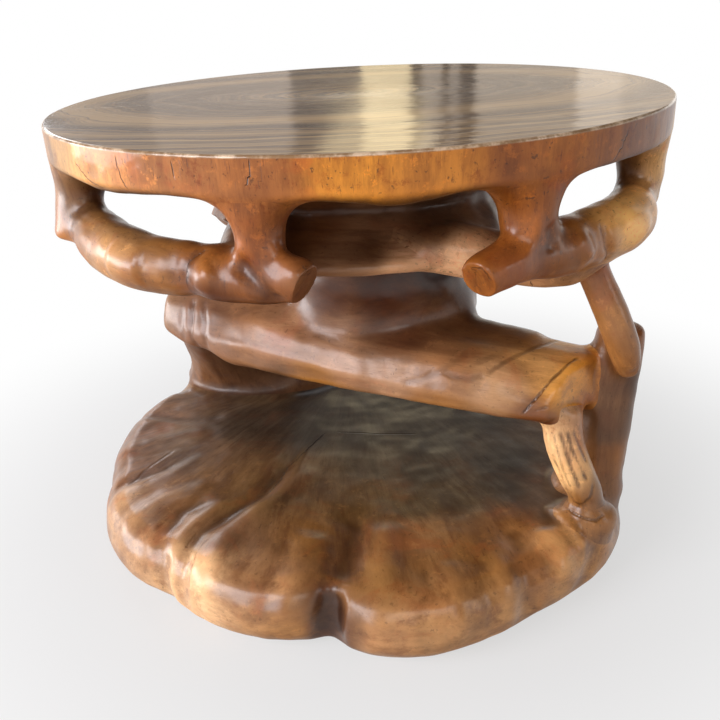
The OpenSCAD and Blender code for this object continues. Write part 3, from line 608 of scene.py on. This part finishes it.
# the apron runs into the turned top without a step
radius = np.hypot(co[:, 0], co[:, 1])
angle = np.arctan2(co[:, 1], co[:, 0])
RIM = rim_radius(co, radius, angle)
meet = smoothstep((co[:, 2] - MEET_Z) / MEET_TALL) * (radius > TOP_R - RIM_BAND)
co[:, :2] *= (1 + meet * (rim_at(angle) / np.maximum(radius, 0.01) - 1))[:, None]
outward = np.stack([np.cos(angle), np.sin(angle), np.zeros(len(co))], 1)
normals = vertex_normals(co, quads) * (1 - meet)[:, None] + outward * meet[:, None]
normals /= np.linalg.norm(normals, axis=1)[:, None]

# ---------------- what the materials read


def tones_with_painted_light(points, group):
    """Wood colour and painted light, spread between the listed places of its group."""
    rows = mm(TONES_WITH_PAINTED_LIGHT[group])
    anchors, colours = rows[:, :3], rows[:, 3:]
    warp_scale, warp_size, softness, chunk = 18, 0.012, 0.0002, 20000
    warp = np.array([noise.noise_vector(Vector(p) * warp_scale) for p in points]) * warp_size
    out = np.empty((len(points), 3))
    for s in range(0, len(points), chunk):
        d = np.linalg.norm((points + warp)[s : s + chunk, None] - anchors[None], axis=2)
        w = 1 / (d**2 + softness) ** 2
        out[s : s + chunk] = (w @ colours) / w.sum(1)[:, None]
    return out * TINT[group]


def grain_frame(points, kind):
    """Place of each vertex in the wood, x along the grain."""
    z = points[:, 2]
    if kind == "fan":
        d = points[:, :2] - mm(FAN)
        turn = np.arctan2(d[:, 0], -d[:, 1])
        return np.stack([np.hypot(d[:, 0], d[:, 1]), turn * FAN_R, z], 1)
    if kind in ("ring", "apron"):
        r = np.hypot(points[:, 0], points[:, 1])
        way = np.arctan2(-points[:, 1], points[:, 0]) * TOP_R
        return np.stack([way, r, z] if kind == "ring" else [z, way, r], 1)
    a, b = mm(kind)
    x = (b - a) / np.linalg.norm(b - a)
    no_piece_runs_so = [0.2, 0.5, 0.84]
    y = np.cross(x, no_piece_runs_so)
    y /= np.linalg.norm(y)
    return (points - a) @ np.stack([x, y, np.cross(x, y)], 1)


def hollowness():
    """How far each vertex lies in a hollow (plus) or on a swell (minus)."""
    fine_depth, broad_depth = 0.0006, 0.0035
    near = relax(co, edges, everywhere, steps=12)
    wide = relax(near, edges, everywhere, steps=60)
    fine = dot(near - co, normals) / fine_depth
    broad = dot(wide - co, normals) / broad_depth
    both = np.clip(0.5 * fine + 0.8 * broad, -1, 1)[:, None]
    return spread(both, edges)[:, 0]


def thin_lines(points, point_normals):
    """Offset from the nearest line in its widths, signed for thin ones, and how much it shows."""
    margin, reach, end, thin = 0.01, 0.006, 0.08, 2
    offset, shows = np.full(len(points), FAR), np.zeros(len(points))
    for width, most, line in LINES:
        p = mm(line)
        near = inside(points, p, margin)
        if not len(near):
            continue
        d, t, k = along(points[near], p)
        across = np.cross(np.diff(p, axis=0)[k], point_normals[near])
        sign = np.sign(dot(points[near] - p[k], across))
        strength = most * smoothstep(2 - d / reach) * tapered(t, end, end)
        away = (d * sign if width <= thin else d) / mm(width)
        better = np.abs(away) < np.abs(offset[near])
        offset[near[better]] = away[better]
        shows[near[better]] = strength[better]
    return offset, shows


hollow = hollowness()
line_offset, line_shows = thin_lines(co, normals)
face_owner = np.array([np.bincount(r, minlength=len(WOOD)).argmax() for r in owner[quads]])


def joint_edges():
    """Edges between faces of two pieces."""
    ends = np.sort(np.stack([quads, np.roll(quads, -1, 1)], 2).reshape(-1, 2), 1)
    piece = np.repeat(face_owner, 4)
    key = ends[:, 0].astype(np.int64) * len(co) + ends[:, 1]
    order = np.argsort(key)
    key, piece, ends = key[order], piece[order], ends[order]
    return ends[:-1][(key[1:] == key[:-1]) & (piece[1:] != piece[:-1])]


def straighten(steps, around):
    """Smooths the border lines between the pieces, and eases the faces around along with them."""
    border = joint_edges()
    on = np.unique(border)
    moved = co.copy()
    for _ in range(steps):
        moved[on] = moved[on] * 0.5 + spread(moved, border)[on] * 0.5
    shift = np.zeros_like(co)
    shift[on] = moved[on] - co[on]
    free = np.ones(len(co), bool)
    free[on] = False
    for _ in range(around):
        shift[free] = spread(shift, edges)[free]
    return co + shift


co = straighten(steps=6, around=3)


def put(mesh, name, kind, values):
    """Writes one attribute of the vertices."""
    layer = mesh.attributes.new(name, kind, "POINT")
    key = {"FLOAT": "value", "FLOAT_VECTOR": "vector", "FLOAT_COLOR": "color"}[kind]
    layer.data.foreach_set(key, np.asarray(values, np.float32).ravel())


def dress(mesh, points, facing, name, hollows, offsets, shows, shade=0.0):
    """Writes what the wood materials read, and the normals that seat() sets."""
    group, grain = PIECES[name]
    # the wood's colour with its painted highlights and shade, darker still by the apron's painted
    # shade
    colours = tones_with_painted_light(points, group) * np.reshape(1 - shade, (-1, 1))
    put(mesh, "tone", "FLOAT_COLOR", np.hstack([colours, np.ones((len(points), 1))]))
    put(mesh, "grain", "FLOAT_VECTOR", grain_frame(points, grain))
    put(mesh, "hollow", "FLOAT", hollows)
    put(mesh, "line", "FLOAT", offsets)
    put(mesh, "line_shows", "FLOAT", shows)
    put(mesh, "polish", "FLOAT", smoothstep((facing[:, 2] + 0.4) / 0.6))
    put(mesh, "facing", "FLOAT_VECTOR", facing)


def seat(mesh, name, suffix="_wood"):
    """Adds a piece that stands for a CAD node."""
    mesh.polygons.foreach_set("use_smooth", np.ones(len(mesh.polygons), bool))
    facing = fetch(mesh.attributes["facing"].data, "vector", 3, np.float32)
    mesh.normals_split_custom_set_from_vertices(facing.tolist())
    mesh.attributes.remove(mesh.attributes["facing"])
    o = add(name + suffix, mesh)
    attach(o, "root")
    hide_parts(name)
    return o


def apron_shade(used):
    """How much darker the apron's lower edge is, away from the posts that run into it."""
    most, post_band, tall, fade = 0.8, 0.022, 0.013, 0.011
    posts = [INDEX[n] for n in WOOD if n.endswith("_post")]
    clear = smoothstep(table[used][:, posts].min(1) / post_band)
    here, z = sector(angle[used]), co[used, 2]
    outer = radius[used] > TOP_R - RIM_BAND
    low = np.full(SECTORS, TOP_Z)
    np.minimum.at(low, here[outer], z[outer])
    return most * clear * smoothstep((eased(low, 3)[here] + tall - z) / fade)


def shell(name):
    """One node's share of the carved shell, with the whole shell's normals."""
    used, local = np.unique(quads[face_owner == INDEX[name]], return_inverse=True)
    mesh = bpy.data.meshes.new(name)
    mesh.from_pydata(co[used].tolist(), [], local.reshape(-1, 4).tolist())
    shade = apron_shade(used) if name == "tabletop" else 0.0
    read = hollow[used], line_offset[used], line_shows[used]
    dress(mesh, co[used], normals[used], name, *read, shade)
    if name == "tabletop":
        bm = bmesh.new()
        bm.from_mesh(mesh)
        everything = bm.verts[:] + bm.edges[:] + bm.faces[:]
        bmesh.ops.bisect_plane(
            bm, geom=everything, plane_co=(0, 0, CUT_Z), plane_no=(0, 0, 1), clear_outer=True
        )
        bm.to_mesh(mesh)
        bm.free()
    return seat(mesh, name)


def turned_top():
    """Flat top face and its rim down to the carved apron, with a small worn round on the edge."""
    sides, rings, turns, bands = 720, 60, 7, 7
    angles = np.arange(sides) * math.tau / sides
    out = np.array([(math.cos(a), math.sin(a), 0) for a in angles])
    up = np.array([(0, 0, 1)])
    edge = rim_at(angles)
    wear = np.array([0.0004 * noise.noise(Vector(o * 9)) for o in out])
    # each ring: radius by angle, height, how far the surface has turned from up to outward
    profile = [(k / rings * (edge - RIM_ROUND), TOP_Z, 0) for k in range(1, rings)]
    for t in np.linspace(0, math.pi / 2, turns):
        r = edge - RIM_ROUND * (1 - math.sin(t)) + wear * math.sin(t)
        profile.append((r, TOP_Z - RIM_ROUND * (1 - math.cos(t)), t))
    for k, z in enumerate(np.linspace(TOP_Z - RIM_ROUND, CUT_Z, bands + 1)[1:]):
        profile.append((edge + wear * (1 - (k + 1) / bands), z, math.pi / 2))
    points = np.vstack([up * TOP_Z] + [out * r[:, None] + up * z for r, z, _ in profile])
    facing = np.vstack([up] + [out * math.sin(t) + up * math.cos(t) for _, _, t in profile])
    faces = [(0, 1 + i, 1 + (i + 1) % sides) for i in range(sides)]
    for k in range(len(profile) - 1):
        a, b = 1 + k * sides, 1 + (k + 1) * sides
        for i in range(sides):
            j = (i + 1) % sides
            faces.append((a + i, b + i, b + j, a + j))
    mesh = bpy.data.meshes.new("tabletop_face")
    mesh.from_pydata(points.tolist(), [], faces)
    dress(mesh, points, facing, "tabletop", np.zeros(len(points)), *thin_lines(points, facing))
    return seat(mesh, "tabletop", "_face")


# ---------------- materials


class Graph:
    """Short hand for a material's nodes."""

    def __init__(self, name):
        self.material = bpy.data.materials.new(name)
        self.material.use_nodes = True
        self.tree = self.material.node_tree
        self.tree.nodes.clear()

    def node(self, kind, values=(), **settings):
        n = self.tree.nodes.new("ShaderNode" + kind)
        for key, value in settings.items():
            setattr(n, key, value)
        for key, value in dict(values).items():
            if isinstance(value, bpy.types.NodeSocket):
                self.tree.links.new(value, n.inputs[key])
            else:
                n.inputs[key].default_value = value
        return n

    def read(self, name, output="Fac"):
        return self.node("Attribute", attribute_name=name).outputs[output]

    def place(self):
        return self.node("TexCoord").outputs["Object"]

    def math(self, operation, a, b=0.0):
        return self.node("Math", {0: a, 1: b}, operation=operation).outputs[0]

    def product(self, a, b):
        return self.math("MULTIPLY", a, b)

    def hypot(self, a, b):
        squares = self.math("ADD", self.math("POWER", a, 2), self.math("POWER", b, 2))
        return self.math("SQRT", squares)

    def scaled(self, vector, scale):
        return self.node("VectorMath", {0: vector, 1: scale}, operation="MULTIPLY").outputs[0]

    def added(self, a, b):
        return self.node("VectorMath", {0: a, 1: b}, operation="ADD").outputs[0]

    def length(self, vector):
        return self.node("VectorMath", {0: vector}, operation="LENGTH").outputs["Value"]

    def split(self, vector):
        return self.node("SeparateXYZ", {0: vector}).outputs

    def combined(self, x, y=0.0, z=0.0):
        return self.node("CombineXYZ", {0: x, 1: y, 2: z}).outputs[0]

    def noise(self, vector, scale, detail=3.0, roughness=0.5, distortion=0.0, output="Fac"):
        if isinstance(scale, tuple):
            vector, scale = self.scaled(vector, scale), 1.0
        values = {"Vector": vector, "Scale": scale, "Detail": detail}
        values.update({"Roughness": roughness, "Distortion": distortion})
        return self.node("TexNoise", values).outputs[output]

    def warped(self, vector, scale, amount, detail, roughness=0.5):
        """The vector moved about by up to half the amount each way."""
        bend = self.noise(vector, scale, detail, roughness, output="Color")
        return self.added(vector, self.scaled(self.added(bend, (-0.5, -0.5, -0.5)), amount))

    def step(self, value, low, high, to_low=0.0, to_high=1.0):
        values = {"Value": value, "From Min": low, "From Max": high}
        values.update({"To Min": to_low, "To Max": to_high})
        return self.node("MapRange", values, interpolation_type="SMOOTHSTEP").outputs[0]

    def mix(self, fac, a, b, blend="MIX"):
        values = {0: fac, 6: a, 7: b}
        return self.node("Mix", values, data_type="RGBA", blend_type=blend).outputs[2]

    def laid(self, pattern, low, high, share, under, over):
        """Over lies on under where the pattern runs from low to high, by the share at most."""
        return self.mix(self.product(self.step(pattern, low, high), share), under, over)

    def tinted(self, colour, factor):
        """A colour made darker or lighter channel by channel."""
        return self.mix(1.0, colour, rgb(*factor), "MULTIPLY")

    def bump(self, height, distance, strength=1.0, normal=None):
        values = {"Height": height, "Distance": distance, "Strength": strength}
        if normal is not None:
            values["Normal"] = normal
        return self.node("Bump", values).outputs[0]

    def finish(self, shader):
        self.node("OutputMaterial", {0: shader})
        return self.material


def rgb(r, g, b):
    return (r, g, b, 1.0)


def year_rings(g, grain, gap):
    """Rings round the grain's axis, each with finer ones in it."""
    _, y, z = g.split(grain)
    across = g.hypot(y, z)
    wave = g.math("SINE", g.product(across, math.tau / gap))
    fine = g.math("SINE", g.product(across, math.tau / gap * 2.7))
    return g.step(g.math("ADD", wave, g.product(fine, 0.5)), -1.3, 1.3)


def cracks(g, place):
    """1 in the middle of a thin line, 0 beside it, with an uneven edge."""
    wander = g.math("SUBTRACT", g.noise(place, 90, 3), 0.5)
    offset = g.math("ABSOLUTE", g.math("ADD", g.read("line"), g.product(wander, 0.9)))
    return g.product(g.step(offset, 0.15, 1.0, 1.0, 0.0), g.read("line_shows"))


def wood(
    name, rings, mottle, streaks, blots, fleck,
    ring_gap=0.012, coat=0.75, coat_rough=0.27, over=None,
):
    """Lacquered carved wood: rings, mottling, fibres, pores, cracks, painted shade in hollows."""
    g = Graph(name)
    tone, hollow, place = g.read("tone", "Color"), g.read("hollow"), g.place()
    grain = g.warped(g.read("grain", "Vector"), (5, 14, 14), (0.02, 0.035, 0.035), 2)
    patch = g.noise(grain, (7, 24, 24), 6, 0.68)
    streak = g.noise(grain, (13, 85, 85), 5, 0.66)
    fibre = g.noise(grain, (16, 330, 330), 4, 0.65)
    pore = g.noise(grain, (70, 900, 900), 2, 0.6)
    stain = g.noise(place, 17, 5, 0.66, 0.6)
    blot = g.noise(place, 72, 6, 0.76)
    speck = g.noise(place, 210, 2, 0.6)
    crack = cracks(g, place)

    dark, light = g.tinted(tone, (0.52, 0.45, 0.40)), g.tinted(tone, (1.22, 1.24, 1.22))
    colour = g.mix(mottle, tone, g.mix(g.step(patch, 0.36, 0.66), dark, light))
    ring = g.product(year_rings(g, grain, ring_gap), rings)
    colour = g.mix(ring, colour, g.tinted(colour, (0.50, 0.42, 0.36)))
    for pattern, low, high, share, factor in (
        (stain, 0.50, 0.66, mottle * 0.8, (0.92, 0.62, 0.50)),
        (streak, 0.50, 0.66, streaks, (0.42, 0.30, 0.24)),
        (blot, 0.54, 0.68, blots, (0.50, 0.30, 0.20)),
        (blot, 0.46, 0.34, blots, (1.4, 1.32, 1.15)),
    ):
        colour = g.laid(pattern, low, high, share, colour, g.tinted(tone, factor))
    colour = g.laid(fibre, 0.42, 0.72, 0.30, colour, g.tinted(colour, (0.62, 0.56, 0.5)))
    colour = g.laid(pore, 0.64, 0.72, fleck, colour, g.tinted(colour, (0.35, 0.28, 0.24)))
    colour = g.laid(speck, 0.64, 0.72, fleck * 0.8, colour, rgb(0.05, 0.02, 0.008))
    # painted shade in the hollows and painted light on the swells
    hollow_shade, swell_light = g.tinted(tone, (0.16, 0.11, 0.08)), g.tinted(tone, (1.35, 1.3, 1.2))
    colour = g.mix(g.step(hollow, 0.1, 1.0, 0.0, 0.6), colour, hollow_shade)
    colour = g.mix(g.step(g.product(hollow, -1), 0.15, 0.9, 0.0, 0.35), colour, swell_light)
    colour = g.mix(g.product(crack, 0.92), colour, g.tinted(tone, (0.08, 0.05, 0.04)))

    waves = g.noise(place, 34, 2, 0.5)
    if over:
        colour, flat = over(g, place, colour)
        waves = g.product(waves, g.math("SUBTRACT", 1.0, flat))
        coat = g.step(flat, 0, 1, 0.5, coat)
    wavy = g.bump(waves, 0.004, 0.1)
    open_pores = g.product(g.step(pore, 0.62, 0.74), -0.5)
    relief = g.bump(g.math("ADD", g.product(fibre, -0.3), open_pores), 0.00025, 0.8, wavy)
    relief = g.bump(g.product(crack, -1.0), 0.0012, 1.0, relief)
    lacquer = g.bump(fibre, 0.00008, 0.6, wavy)
    lacquer = g.bump(g.product(crack, -1.0), 0.0008, 1.0, lacquer)
    if over:
        ripple = g.math("SUBTRACT", g.noise(place, (5, 150, 1), 4, 0.7), 0.5)
        lean = g.combined(g.product(g.product(ripple, flat), 0.2))
        lacquer = g.node(
            "VectorMath", {0: g.added(lacquer, lean)}, operation="NORMALIZE"
        ).outputs[0]
    values = {
        "Base Color": colour,
        "Roughness": g.step(stain, 0.3, 0.7, 0.36, 0.52),
        "IOR": 1.48,
        "Specular IOR Level": 0.2,
        "Coat Weight": g.product(g.read("polish"), coat),
        "Coat Roughness": coat_rough,
        "Coat IOR": 1.5,
        "Normal": relief,
        "Coat Normal": lacquer,
    }
    return g.finish(g.node("BsdfPrincipled", values).outputs[0])


def top_face(g, place, apron):
    """Polished top over the apron's wood: rings round the pith, dark streaks, a pale rim of wear
    and painted highlight.
    """
    grain = g.warped(place, (4.5, 9, 0), (0.10, 0.05, 0), 3, 0.55)
    grain = g.added(grain, (-PITH[0], -PITH[1], -TOP_Z))
    x, y, _ = g.split(grain)
    across = g.hypot(g.product(x, 0.60), y)
    rings = g.noise(g.combined(g.product(across, 52), 3.7, 0.4), 1.0, 6, 0.68)
    thin = g.noise(g.combined(g.product(across, 260), 1.2, 8.1), 1.0, 2, 0.6)
    fibre = g.noise(grain, (30, 700, 1), 3, 0.6)
    patch = g.noise(place, (5, 9, 1), 3, 0.6)
    rim_wear_and_highlight = g.noise(place, 60, 4, 0.7)
    colour = g.mix(g.step(rings, 0.40, 0.62), rgb(0.10, 0.045, 0.018), rgb(0.60, 0.37, 0.16))
    colour = g.laid(thin, 0.50, 0.64, 0.6, colour, rgb(0.06, 0.03, 0.012))
    colour = g.laid(fibre, 0.45, 0.75, 0.30, colour, g.tinted(colour, (0.6, 0.55, 0.5)))
    colour = g.mix(g.step(patch, 0.45, 0.70, 0.0, 0.45), colour, rgb(0.34, 0.19, 0.07))
    # pale band round the rim, partly wear and partly a painted highlight on the edge
    pale = g.mix(g.step(rim_wear_and_highlight, 0.42, 0.66), rgb(0.30, 0.17, 0.08), rgb(0.74, 0.54, 0.36))
    distance = g.length(g.scaled(place, (1, 1, 0)))
    colour = g.mix(g.step(distance, TOP_R - 0.0045, TOP_R - 0.0025), colour, pale)
    flat = g.step(g.split(place)[2], TOP_Z - 0.0030, TOP_Z - 0.0016)
    return g.mix(flat, apron, colour), flat


def dowel_wood():
    """Plain straight-grained dowel stock."""
    g = Graph("dowel_wood")
    streak = g.noise(g.place(), (300, 300, 40), 3, 0.6)
    colour = g.mix(g.step(streak, 0.3, 0.7), rgb(0.40, 0.19, 0.05), rgb(0.58, 0.29, 0.08))
    values = {"Base Color": colour, "Roughness": 0.6, "Normal": g.bump(streak, 0.0002)}
    return g.finish(g.node("BsdfPrincipled", values).outputs[0])


def branch_wood():
    return wood(
        "branch_wood", rings=0.15, ring_gap=0.011, mottle=0.85, streaks=0.35, blots=0.7, fleck=0.8
    )


def crown_wood():
    return wood(
        "crown_wood", rings=0.2, ring_gap=0.016, mottle=0.6, streaks=0.5, blots=0.2, fleck=0.5,
        coat=0.45,
    )


def log_wood():
    return wood(
        "log_wood", rings=0.35, ring_gap=0.030, mottle=0.65, streaks=0.4, blots=0.25, fleck=0.5
    )


def slab_wood():
    return wood(
        "slab_wood", rings=0.3, ring_gap=0.022, mottle=0.85, streaks=0.6, blots=0.3, fleck=0.45
    )


def top_wood():
    return wood(
        "top_wood", rings=0.0, mottle=0.85, streaks=0.35, blots=0.7, fleck=0.8,
        coat=0.85, coat_rough=0.07, over=top_face,
    )


# ---------------- stage


def camera():
    """The photograph's own place, a little above the top and tipped down."""
    place, pitch, roll = (-0.010, -0.850, 0.560), math.radians(24.95), math.radians(-2.83)
    data = bpy.data.cameras.new("camera")
    data.sensor_width = 36
    data.lens = 41
    o = add("camera", data)
    ahead = Vector((0, math.cos(pitch), -math.sin(pitch)))
    right = Vector((1, 0, 0))
    up = right.cross(ahead)
    r = right * math.cos(roll) + up * math.sin(roll)
    u = -right * math.sin(roll) + up * math.cos(roll)
    turn = Matrix((r, u, -ahead)).transposed()
    o.matrix_world = Matrix.Translation(place) @ turn.to_4x4()
    bpy.context.scene.camera = o


def lamp(name, place, target, size, strength, colour, shape="RECTANGLE"):
    """Soft box; strength is how bright its face looks, 1 for white."""
    data = bpy.data.lights.new(name, "AREA")
    data.shape = shape
    data.size, data.size_y = size
    data.energy = strength * math.pi * size[0] * size[1]
    data.color = colour
    o = add(name, data)
    o.location = place
    o.rotation_mode = "QUATERNION"
    o.rotation_quaternion = (Vector(target) - Vector(place)).to_track_quat("-Z", "Y")
    o.visible_camera = False


def backdrop(g, name, points, faces, grey, share=1.0):
    """Surface of the stage: matt grey, seen and mirrored as white by its share."""
    path = g.node("LightPath").outputs
    seen = g.math("MAXIMUM", path["Is Camera Ray"], path["Is Glossy Ray"])
    seen = g.math("MAXIMUM", seen, path["Is Transmission Ray"])
    matt = g.node("BsdfDiffuse", {"Color": rgb(grey, grey, grey)}).outputs[0]
    white = g.node("Emission", {"Color": rgb(1, 1, 1), "Strength": 1.0}).outputs[0]
    mixed = g.node("MixShader", {0: g.product(share, seen), 1: matt, 2: white})
    mesh = bpy.data.meshes.new(name)
    mesh.from_pydata(points, [], faces)
    mesh.materials.append(g.finish(mixed.outputs[0]))
    o = add(name, mesh)


def floor():
    """Pale floor: keeps the table's shadow near it, plain white further off."""
    g, half = Graph("floor"), 80
    white = g.step(g.length(g.place()), 0.28, 0.75, 0.62, 1.0)
    points = [(-half, -half, 0), (half, -half, 0), (half, half, 0), (-half, half, 0)]
    backdrop(g, "floor", points, [(0, 1, 2, 3)], 0.62, white)


def wall():
    """White wall far off, low behind the table, where the top would mirror it."""
    sides, reach, high, low = 144, 22.0, 5.2, 1.54
    turns = [k * math.tau / sides for k in range(sides)]
    ring = [(reach * math.cos(a), reach * math.sin(a)) for a in turns]
    points = [(x, y, 0) for x, y in ring]
    points += [(x, y, low if y > abs(x) * 1.9 else high) for x, y in ring]
    faces = [(k, (k + 1) % sides, sides + (k + 1) % sides, sides + k) for k in range(sides)]
    backdrop(Graph("wall"), "wall", points, faces, 0.93)


def studio():
    """Plain soft light: dim world, soft boxes round the table, and a lit room for the top."""
    world = bpy.data.worlds.new("world")
    world.use_nodes = True
    world.node_tree.nodes["Background"].inputs[0].default_value = rgb(0.085, 0.082, 0.08)
    bpy.context.scene.world = world
    lamp("key", (-2.15, -1.55, 1.4), (0, -0.1, 0.2), (1.7, 1.4), 9.0, (0.97, 0.95, 1))
    lamp("left", (-2.4, 0.1, 0.4), (0, 0, 0.2), (1.6, 0.75), 8.0, (0.97, 0.97, 1))
    lamp("right", (2.1, -1.3, 0.95), (0, 0, 0.3), (0.6, 0.7), 3.4, (1, 0.97, 0.95))
    lamp("back_left", (-1.6, 2.4, 1.25), (0, 0, 0.1), (0.9, 0.8), 4.0, (0.95, 0.96, 1))
    lamp("sky", (0.1, 1.5, 2.6), (0, -0.1, 0.2), (2.6, 1.4), 1.2, (0.93, 0.95, 1))
    lamp("front", (0.3, -2.6, 1.6), (0, 0, 0.2), (1.6, 1.0), 3.4, (1, 0.95, 0.9))
    # the room that the polished top mirrors, from left to right
    back, middle, aim, tall = 3.0, 0.95, 0.94, 1.2
    for name, x, width, strength, colour in (
        ("room_far_left", -2.5, 3.2, 0.36, (1, 0.86, 0.74)),
        ("room_left", -0.58, 0.64, 0.52, (1, 0.86, 0.74)),
        ("room_near", -0.1, 0.32, 0.12, (1, 0.86, 0.74)),
        ("window", 0.17, 0.22, 1.0, (1, 0.82, 0.5)),
        ("pane", 0.375, 0.09, 0.36, (1, 0.88, 0.76)),
        ("pane_edge", 0.475, 0.05, 0.30, (1, 0.88, 0.76)),
        ("room_right", 0.8, 0.46, 0.54, (1, 0.86, 0.70)),
        ("side_window", 1.13, 0.20, 1.0, (1, 0.88, 0.74)),
        ("room_far_right", 2.63, 2.8, 0.8, (1, 0.88, 0.74)),
    ):
        lamp(name, (x, back, middle), (x, 0, aim), (width, tall), strength, colour)
    foot, target, size = (0.13, 2.98, 1.28), (0.13, 0, 1.27), (0.60, 0.90)
    lamp("window_foot", foot, target, size, 0.65, (1, 0.82, 0.5), "ELLIPSE")


camera()
WOODS = (branch_wood, crown_wood, log_wood, slab_wood, top_wood)
MATERIALS = {make.__name__: make() for make in WOODS}
for node_name in WOOD:
    shell(node_name).data.materials.append(MATERIALS[SLOTS[node_name]])
turned_top().data.materials.append(MATERIALS["top_wood"])
dowels = dowel_wood()
for node_name, o in NODES.items():
    if node_name.endswith("_dowels"):
        o.data.materials.clear()
        o.data.materials.append(dowels)
floor()
wall()
studio()
bpy.context.scene.view_settings.view_transform = "Standard"
